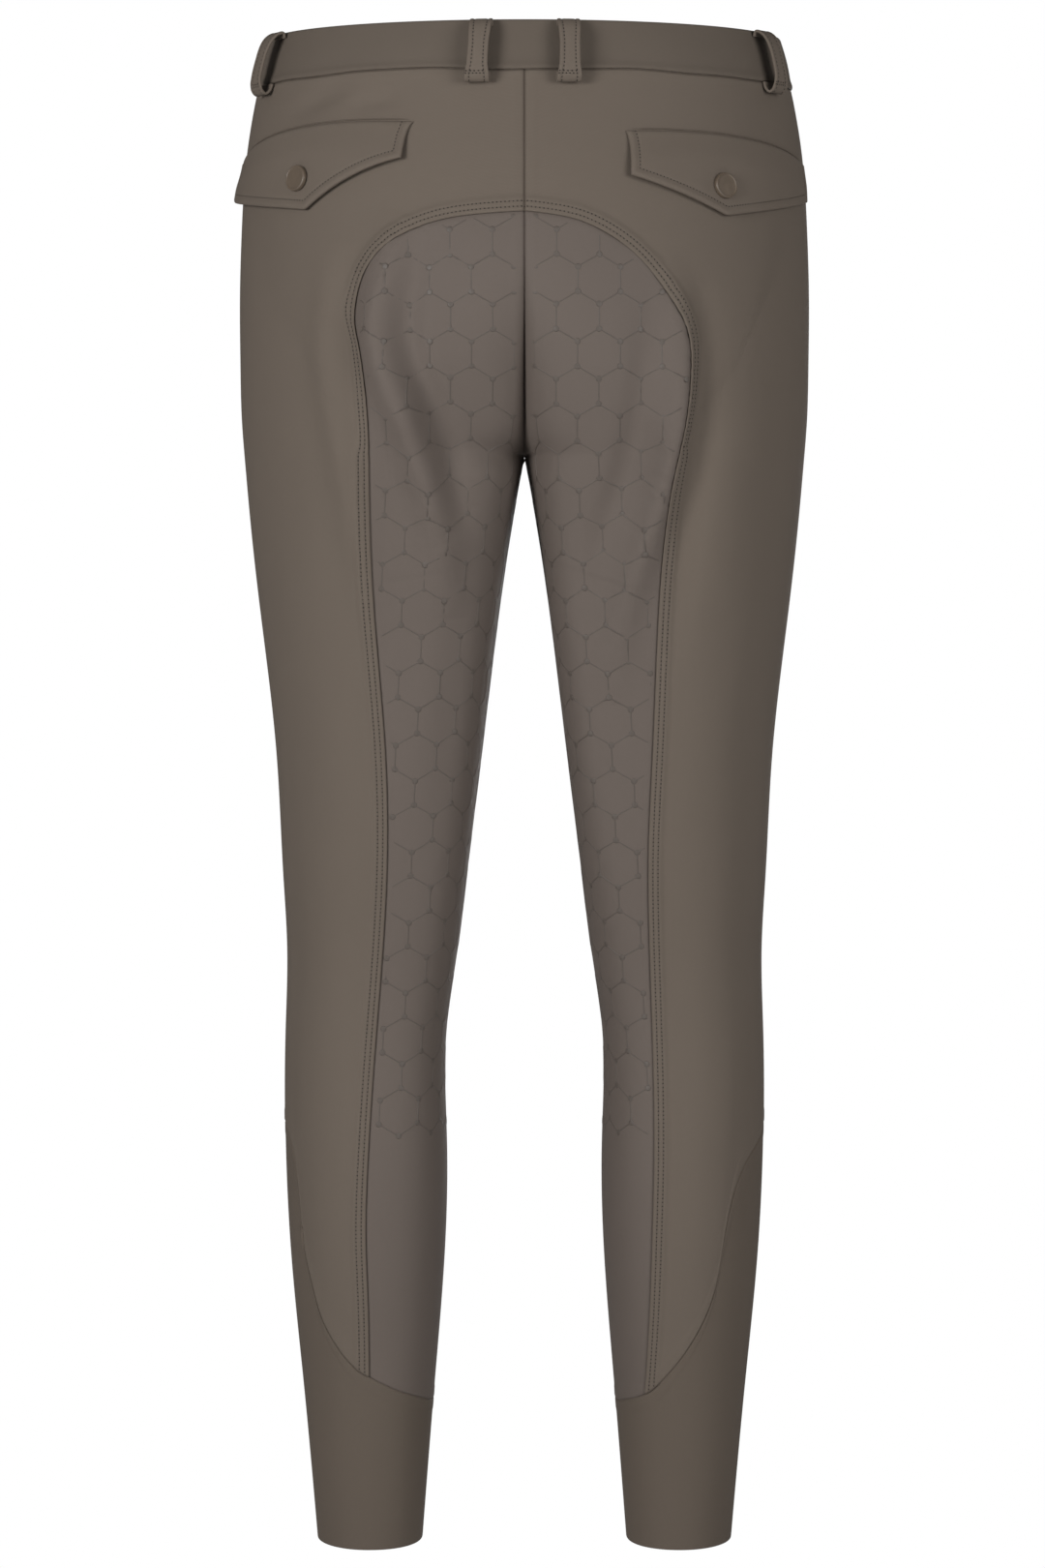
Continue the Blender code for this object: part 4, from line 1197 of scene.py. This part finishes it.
# ------------------------------------------------------------------ belt loops
# Six straps of doubled jersey, stitched down both edges.  Each is turned under
# at both ends and tacked, above on the band's top fold, below on the panel.
LOOP_THICK = 1.6
Loop = namedtuple("Loop", "node side top bottom")
LOOPS = [
    # the angles at which the strap's upper and lower ends are sewn
    Loop("loop_back_left", "left", -80.9, -80.5),
    Loop("loop_back_right", "right", -80.7, -81.0),
    Loop("loop_side_left", "left", -22, -20),
    Loop("loop_side_right", "right", -27, -26.5),
    Loop("loop_front_left", "left", 62, 62),
    Loop("loop_front_right", "right", 62, 61),
]
LoopPoint = namedtuple("LoopPoint", "off z")
LOOP_PATH = [
    # the middle of the strap, from its lower turned end to its upper one
    LoopPoint(1.3, -16.5),
    LoopPoint(1.5, -19.9),
    LoopPoint(3.6, -22.4),
    LoopPoint(7.4, -20.3),
    LoopPoint(10.4, -13),
    LoopPoint(11.0, -2),
    LoopPoint(10.2, 8),
    LoopPoint(7.2, 13.4),
    LoopPoint(3.4, 14.9),
    LoopPoint(1.3, 11.8),
]
LoopWidth = namedtuple("LoopWidth", "share width")
LOOP_WIDTHS = [
    # along the strap, from its lower end; the lower tab spreads under its tack
    LoopWidth(0, 15.2),
    LoopWidth(0.24, 15.2),
    LoopWidth(0.36, 13.0),
    LoopWidth(0.60, 12.4),
    LoopWidth(0.84, 14.0),
    LoopWidth(1, 14.0),
]
LOOP_STEPS = 72
LOOP_EDGE_RADIUS = 0.6
LOOP_STITCH_AT = 2.9    # from the strap's edge
LOOP_STITCH = Stitch(2.4, 1.584, 0.45, 0.05, 0.62, 0.16)
LOOP_STITCH_FROM = 12   # steps from the strap's ends
LOOP_STITCH_TO = 6
LOOP_FURROW = 0.32
LOOP_FURROW_WIDTH = 0.5
LOOP_RIM = 0.15
LOOP_RIM_AT = 1.5
LOOP_RIM_WIDTH = 0.8
LOOP_ASIDE = [0, 0.2, 0.5, 1.0, 1.7, 2.4, 2.9, 3.4, 4.2]
TACK_AT = (0.25, 0.275)     # along the strap
TACK_FURROW = 0.35
TACK_WIDTH = 0.008
LEAST_SHARE = -0.3
for loop in LOOPS:
    path = smooth_path(LOOP_PATH, LOOP_STEPS)
    reach = np.linspace(0, 1, LOOP_STEPS + 1)
    share = np.clip((path[:, 1] - WAIST_SEAM) / (BAND_TOP - WAIST_SEAM), LEAST_SHARE, 1)
    angle = np.radians(loop.bottom + (loop.top - loop.bottom) * share)
    turn = angle if loop.side == "right" else np.pi - angle
    middle = band_point(turn, path[:, 1], path[:, 0])
    across = band_point(turn + 10 * SLOPE_STEP, path[:, 1], path[:, 0]) - middle
    across /= np.linalg.norm(across, axis=1, keepdims=True)
    along = np.gradient(middle, axis=0)
    outside = np.cross(across, along)
    outside /= np.linalg.norm(outside, axis=1, keepdims=True)
    if np.sum(outside[LOOP_STEPS // 2] * middle[LOOP_STEPS // 2] * [1, 1, 0]) < 0:
        outside = -outside
    width = np.interp(reach, [row.share for row in LOOP_WIDTHS], [row.width for row in LOOP_WIDTHS])
    near = np.array(LOOP_ASIDE)[None] - width[:, None] / 2
    aside = np.concatenate([near, np.zeros((len(near), 1)), -near[:, ::-1]], axis=1)
    edge = width[:, None] / 2 - abs(aside)
    round_edge = rounded(edge, LOOP_EDGE_RADIUS)
    tacks = sum(hump(reach - at, TACK_WIDTH) for at in TACK_AT)[:, None]
    relief = (round_edge - LOOP_FURROW * hump(edge - LOOP_STITCH_AT, LOOP_FURROW_WIDTH)
              + LOOP_RIM * hump(edge - LOOP_RIM_AT, LOOP_RIM_WIDTH) - TACK_FURROW * tacks)
    flat_place = middle[:, None] + across[:, None] * aside[..., None] * MM
    outer = flat_place + outside[:, None] * (LOOP_THICK / 2 + relief)[..., None] * MM
    inner = flat_place - outside[:, None] * (LOOP_THICK / 2 + round_edge)[..., None] * MM
    strap = cloth_object(loop.node, outer, lay_out(outer))
    face_out(strap, np.broadcast_to(outside[:, None], outer.shape))
    thicken(strap, LOOP_THICK, inner)
    finish_piece(strap, outer_cloth, loop.node)
    shown = slice(LOOP_STITCH_FROM, LOOP_STEPS - LOOP_STITCH_TO)
    near = LOOP_ASIDE.index(LOOP_STITCH_AT)
    rows = [(outer[shown, k], outside[shown]) for k in (near, -1 - near)]
    for at in TACK_AT:
        step = int(round(at * LOOP_STEPS))
        row = outer[step, 3:-3]
        rows.append((row, np.broadcast_to(outside[step], row.shape)))
    name = loop.node + "_stitches"
    sew_rows(name + "_thread", name + "_holes", rows, LOOP_STITCH)


# ---------------------------------------------------------------- pocket flaps
# Two pointed flaps of doubled jersey over the back pockets.  The upper edge is
# sewn into a slit; the others are turned, so they are round and stitched round.
Flap = namedtuple("Flap", "corner left_angle left_z left_lift right_angle right_z right_lift")
FLAP = [
    # the outline's corners, and how far each stands off the panel
    Flap("inner top", -69, -45.0, 1.8, -70.9, -50.6, 1.8),
    Flap("inner bottom", -66.5, -69.9, 4.0, -70.5, -80.8, 4.0),
    Flap("point", -43.3, -98.6, 2.2, -48.5, -103.1, 2.4),
    Flap("outer bottom", -3, -87.5, 3.6, -12, -89, 1.2),
    Flap("outer top", -3, -61, 0.9, -10, -63, 0.8),
]
FLAP_THICK = 2.2
FLAP_TOP_BOW = {"left": 7.6, "right": 5.0}      # how far the top edge arches up
FLAP_LOWER_BOW = {"left": 4.0, "right": 1.0}    # and the edge before the point
FLAP_EDGE_RADIUS = 1.1
FLAP_RIM = 0.45         # the cloth turned in makes a low rim inside the edge
FLAP_RIM_AT = 2.4
FLAP_RIM_WIDTH = 1.3
FLAP_STITCH_AT = 5.4
FLAP_STITCH = Stitch(2.3, 1.725, 0.45, 0.05, 0.5, 0.1)
FLAP_FURROW = 0.22
FLAP_FURROW_WIDTH = 0.7
FLAP_ROOT = 20.0        # height over which the flap rises from its seam
FLAP_ROOT_RISE = 2.0    # how far its upper edge stands proud
FLAP_SPACING = 2.4
FLAP_TOP_STEPS = 90
FLAP_INNER_STEPS = 40   # so many of them reach to the point of the lower edge
FLAP_END_STEPS = 30
FLAP_LEAST = 0.4        # its least thickness
FLAP_BACK_SINK = 0.9
FLAP_EDGE = [0, 0.15, 0.4, 0.8, 1.3, 2.0, 3.0, 4.2, 5.0, 5.4, 5.8, 6.4, 7.5, 9]
FLAP_EAR = {"left": 2.6, "right": 1.8}          # how far the inner end curves in
FLAP_EAR_RISE = 0.55
FLAP_RADIUS = 110.0     # of the seat behind the inner end
FLAP_SEAM_EDGE = [0, 0.2, 0.5, 0.9, 1.2, 1.5, 1.8, 2.1, 2.6, 3.4, 4.6, 6.4, 8.5]
FLAP_SLIT = [
    # the lip above the slit, the slit and the flap below it
    (0, -2.2), (0.25, -1.5), (0.6, -1.1), (1.0, -1.1), (1.25, -1.5), (1.5, -3.0), (1.75, -3.0),
    (2.05, -1.1), (2.6, -0.4), (3.4, 0),
]
FLAP_LIP_SINK = 2.0     # the lip runs out into the panel at both its ends
FLAP_LIP_RUN = 7.0
FLAP_LIP_AT = 1.2
FLAP_LIP_WIDTH = 0.6
Snap = namedtuple("Snap", "side angle z")
SNAPS = {"left": Snap("left", -40.4, -79.3), "right": Snap("right", -48.6, -85.0)}
SNAP_DIMPLE = 0.9
SNAP_DIMPLE_WIDTH = 12.0


def flap_patch(side):
    corner = {row.corner: row for row in FLAP}

    def place(name):
        row = corner[name]
        angle, z, lift = (getattr(row, side + part) for part in ("_angle", "_z", "_lift"))
        return np.array([np.radians(angle), z, lift])

    def edge(start, end, steps, bow=0.0):
        share = np.linspace(0, 1, steps + 1)[:, None]
        points = (1 - share) * place(start) + share * place(end)
        points[:, 1] += bow * 4 * share[:, 0] * (1 - share[:, 0])
        return points

    bottom = join(edge("inner bottom", "point", FLAP_INNER_STEPS, FLAP_LOWER_BOW[side]),
                  edge("point", "outer bottom", FLAP_TOP_STEPS - FLAP_INNER_STEPS))
    inner = edge("inner top", "inner bottom", FLAP_END_STEPS)
    share = np.linspace(0, 1, FLAP_END_STEPS + 1)
    inner[:, 0] += FLAP_EAR[side] / FLAP_RADIUS * np.sin(np.pi * share ** FLAP_EAR_RISE)
    return coons_patch(edge("inner top", "outer top", FLAP_TOP_STEPS, FLAP_TOP_BOW[side]), bottom,
                       inner, edge("outer top", "outer bottom", FLAP_END_STEPS))


for side, snap in SNAPS.items():
    cut = fine_cut(flap_patch(side), FLAP_SEAM_EDGE, FLAP_EDGE, FLAP_EDGE, FLAP_EDGE, FLAP_SPACING)
    free = np.minimum(np.minimum(cut.bottom, cut.first), cut.last)
    root = smooth_step(cut.top / FLAP_ROOT)
    from_snap = np.linalg.norm(plain_point(cut.phi, cut.z)
                               - plain_point(np.radians(snap.angle), snap.z), axis=-1)
    base = (cut.lift + FLAP_THICK) * root + FLAP_ROOT_RISE * (1 - root)
    round_edge = rounded(free, FLAP_EDGE_RADIUS)
    lip_end = ((1 - smooth_step(np.minimum(cut.first, cut.last) / FLAP_LIP_RUN))
               * (1 - smooth_step((cut.top - FLAP_LIP_AT) / FLAP_LIP_WIDTH)))
    face = (base + round_edge + FLAP_RIM * hump(free - FLAP_RIM_AT, FLAP_RIM_WIDTH)
            - FLAP_FURROW * hump(free - FLAP_STITCH_AT, FLAP_FURROW_WIDTH)
            - SNAP_DIMPLE * hump(from_snap, SNAP_DIMPLE_WIDTH)
            + np.interp(cut.top, *zip(*FLAP_SLIT)) - FLAP_LIP_SINK * lip_end)
    back = np.maximum(base - FLAP_THICK - 0.5 * round_edge, -FLAP_BACK_SINK)
    outer = surface(side, cut.phi, cut.z, face)
    flap = cloth_object("flap_" + side, outer, lay_out(outer))
    normals = normals_at(side, cut.phi, cut.z)
    face_out(flap, normals)
    thicken(flap, FLAP_THICK, surface(side, cut.phi, cut.z, np.minimum(back, face - FLAP_LEAST)))
    finish_piece(flap, outer_cloth, "flap_" + side)
    near = FLAP_EDGE.index(FLAP_STITCH_AT)
    top = len(FLAP_SEAM_EDGE) - 5
    foot, far = outer.shape[0] - 1 - near, outer.shape[1] - 1 - near
    line = ([(row, near) for row in range(top, foot)] + [(foot, k) for k in range(near, far + 1)]
            + [(row, far) for row in range(foot - 1, top, -1)])
    row = (np.array([outer[at] for at in line]), np.array([normals[at] for at in line]))
    name = "flap_stitches_" + side
    sew_rows(name + "_thread", name + "_holes", [row], FLAP_STITCH)


# ----------------------------------------------------------------- press studs
# The plastic cap of the stud in each flap: a flat disc with a fine raised rim,
# moulded in one and clamped through the flap.
SNAP_SINK = 0.9
CAP_SIDES = 64
CAP_SHARP_EDGE = 40
SNAP_PROFILE = [(7.5, 0), (8.0, 0.5), (8.0, 2.2), (7.8, 2.7), (7.4, 2.95), (7.0, 2.95),
                (6.7, 2.75), (6.5, 2.5), (3.0, 2.55), (0.3, 2.6)]
horn = grained_paint("horn plastic", (0.112, 0.084, 0.060), 0.38, 260, 0.02, uneven=0.2)


def turned(name, profile, place, normal, paint):
    """A button turned to its profile, from its foot up, and set at a place."""
    bpy.ops.mesh.primitive_circle_add(vertices=CAP_SIDES, radius=profile[0][0] * MM,
                                      fill_type="NGON")
    piece = bpy.context.object
    piece.name = piece.data.name = name
    bpy.ops.object.mode_set(mode="EDIT")
    bpy.ops.mesh.select_mode(type="FACE")
    bpy.ops.mesh.select_all(action="SELECT")
    for (wide, low_z), (narrow, high_z) in zip(profile, profile[1:]):
        bpy.ops.mesh.extrude_region_move(
            TRANSFORM_OT_translate={"value": (0, 0, (high_z - low_z) * MM)})
        bpy.ops.transform.resize(value=(narrow / wide, narrow / wide, 1),
                                 center_override=(0, 0, high_z * MM))
    bpy.ops.mesh.select_all(action="SELECT")
    bpy.ops.mesh.normals_make_consistent(inside=False)
    bpy.ops.object.mode_set(mode="OBJECT")
    turn = Vector(normal).normalized().to_track_quat("Z", "Y").to_matrix().to_4x4()
    piece.data.transform(Matrix.Translation(Vector(place)) @ turn)
    bpy.ops.object.shade_smooth_by_angle(angle=np.radians(CAP_SHARP_EDGE))
    piece.data.materials.append(paint)
    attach(piece, "root")
    return piece


def flap_lift(side, angle, z):
    """How far the flap stands off the panel under its stud."""
    rows = np.array([[getattr(row, side + part) for part in ("_angle", "_z", "_lift")]
                     for row in FLAP])
    weight = 1 / ((rows[:, 0] - angle) ** 2 + (rows[:, 1] - z) ** 2)
    return float(np.sum(weight * rows[:, 2]) / np.sum(weight))


for side, snap in SNAPS.items():
    phi = np.radians(snap.angle)
    off = flap_lift(side, snap.angle, snap.z) + FLAP_THICK - SNAP_SINK
    cap = turned("snap_" + side, SNAP_PROFILE, surface(side, phi, snap.z, off),
                 normals_at(side, phi, snap.z), horn)
    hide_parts("snap_" + side)


# ---------------------------------------------------------------- waist button
# A four-hole plastic button on the band's left end, sewn through with crossed
# thread, and the stitched buttonhole that it sits on.
BUTTON_PROFILE = [(7.4, 0), (8.2, 0.5), (8.5, 1.3), (8.3, 2.3), (7.7, 2.9), (7.0, 3.0),
                  (6.2, 2.7), (5.4, 2.3), (2.5, 2.15), (0.3, 2.15)]
BUTTON_FACE = 2.15
BUTTON_HOLE_AT = 1.7
BUTTON_HOLE = 0.95
CROSS_HEIGHT = 2.4
CROSS_SHAPE = (5.0, 0.8, 0.9)
BUTTONHOLE_LONG = 11.5
BUTTONHOLE_HIGH = 2.0
BUTTONHOLE_SINK = 0.55
BUTTONHOLE_STITCHES = 61
BUTTONHOLE_SHAPE = (2.4, 0.55, 0.7)
BUTTONHOLE_LEAN = 0.3   # its stitches point outwards all round, nearly upright along it
turn = np.array(np.pi / 2 - BAND_OVER_END / 2 / half_width)
off = BAND_THICK + 3 * BAND_GAP
place = band_point(turn, np.array(0.0), off)
around = band_point(turn - SMALL_TURN, np.array(0.0), off) - place
up = band_point(turn, np.array(1.0), off) - place
around /= np.linalg.norm(around)
up /= np.linalg.norm(up)
facing = np.cross(up, around)
if facing[1] < 0:
    facing = -facing
button = turned("waist_button", BUTTON_PROFILE, place, facing, horn)
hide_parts("waist_button")


def on_button(name, shape, spots, ways, paint):
    """Small shapes at spots on the button, each turned its own way."""
    set_out(name, shape, [(np.array(spots), np.array(ways), np.array([facing] * len(spots)))],
            paint)


spots = [place + facing * BUTTON_FACE * MM + (around * a + up * b) * BUTTON_HOLE_AT * MM
         for a in (-1, 1) for b in (-1, 1)]
# painted shadow: the button's four holes are small near-black cones, the shade inside them
on_button("button_holes", hole_shape(BUTTON_HOLE), spots, [around] * 4, hole_shadow_paint)
on_button("button_thread", stitch_shape(*CROSS_SHAPE), [place + facing * CROSS_HEIGHT * MM] * 2,
          [around + up, around - up], thread_paint)
round_hole = np.linspace(0, 2 * np.pi, BUTTONHOLE_STITCHES)
ring = [place + (around * BUTTONHOLE_LONG * np.cos(t) + up * BUTTONHOLE_HIGH * np.sin(t)) * MM
        - facing * BUTTONHOLE_SINK * MM for t in round_hole]
on_button("buttonhole_thread", stitch_shape(*BUTTONHOLE_SHAPE), ring,
          [around * np.cos(t) * BUTTONHOLE_LEAN + up * np.sin(t) for t in round_hole],
          thread_paint)


# ---------------------------------------------------------------------- studio
# A white floor below the hems, a white surround, a large soft light near the
# camera and a fill on the other side.
FLOOR = -1.03
FLOOR_SIZE = 12
FLOOR_COLOUR = (0.62, 0.62, 0.62, 1)
SURROUND_STRENGTH = 0.14
WHITE = (1, 1, 1, 1)


def seen_white(tree, lit, white, output):
    """Plain white to the eye, while the first shader gives the light."""
    nodes, links = tree.nodes, tree.links
    mix = nodes.new("ShaderNodeMixShader")
    links.new(nodes.new("ShaderNodeLightPath").outputs["Is Camera Ray"], mix.inputs["Fac"])
    links.new(nodes[lit].outputs[0], mix.inputs[1])
    links.new(nodes.new(white).outputs[0], mix.inputs[2])
    links.new(mix.outputs[0], nodes[output].inputs["Surface"])


bpy.ops.mesh.primitive_plane_add(size=FLOOR_SIZE, location=(0, 0, FLOOR))
floor = bpy.context.object
floor.name = "floor"
floor_paint = bpy.data.materials.new("floor paint")
floor_paint.use_nodes = True
tree = floor_paint.node_tree
tree.nodes["Principled BSDF"].inputs["Base Color"].default_value = FLOOR_COLOUR
seen_white(tree, "Principled BSDF", "ShaderNodeEmission", "Material Output")
floor.data.materials.append(floor_paint)

world = bpy.data.worlds.new("surround")
bpy.context.scene.world = world
world.use_nodes = True
tree = world.node_tree
tree.nodes["Background"].inputs["Strength"].default_value = SURROUND_STRENGTH
seen_white(tree, "Background", "ShaderNodeBackground", "World Output")
for node in tree.nodes:
    if node.type == "BACKGROUND":
        node.inputs["Color"].default_value = WHITE

Light = namedtuple("Light", "name place size power")
LIGHTS = [
    Light("left", (-1.3, -1.6, 0.05), 0.9, 28),
    Light("right", (1.3, -1.6, 0.05), 1.2, 20),
    Light("far side", (0.3, 2.4, -0.3), 1.2, 22),
]
LIGHTS_AIM = (0, 0, -0.42)
for light in LIGHTS:
    bpy.ops.object.light_add(type="AREA", location=light.place)
    lamp = bpy.context.object
    lamp.name = light.name
    lamp.data.shape = "DISK"
    lamp.data.size = light.size
    lamp.data.energy = light.power
    lamp.visible_camera = False
    aim = Vector(LIGHTS_AIM) - lamp.location
    lamp.rotation_euler = aim.to_track_quat("-Z", "Y").to_euler()

CAMERA_PLACE = (-0.00124, -2.7, -0.29587)
CAMERA_TILT = 90 - 3.417
CAMERA_LENS = 96.773
SENSOR_HEIGHT = 36
bpy.ops.object.camera_add(location=CAMERA_PLACE, rotation=(np.radians(CAMERA_TILT), 0, 0))
camera = bpy.context.object
camera.data.sensor_fit = "VERTICAL"
camera.data.sensor_height = SENSOR_HEIGHT
camera.data.lens = CAMERA_LENS
bpy.context.scene.camera = camera
bpy.context.scene.view_settings.view_transform = "Standard"
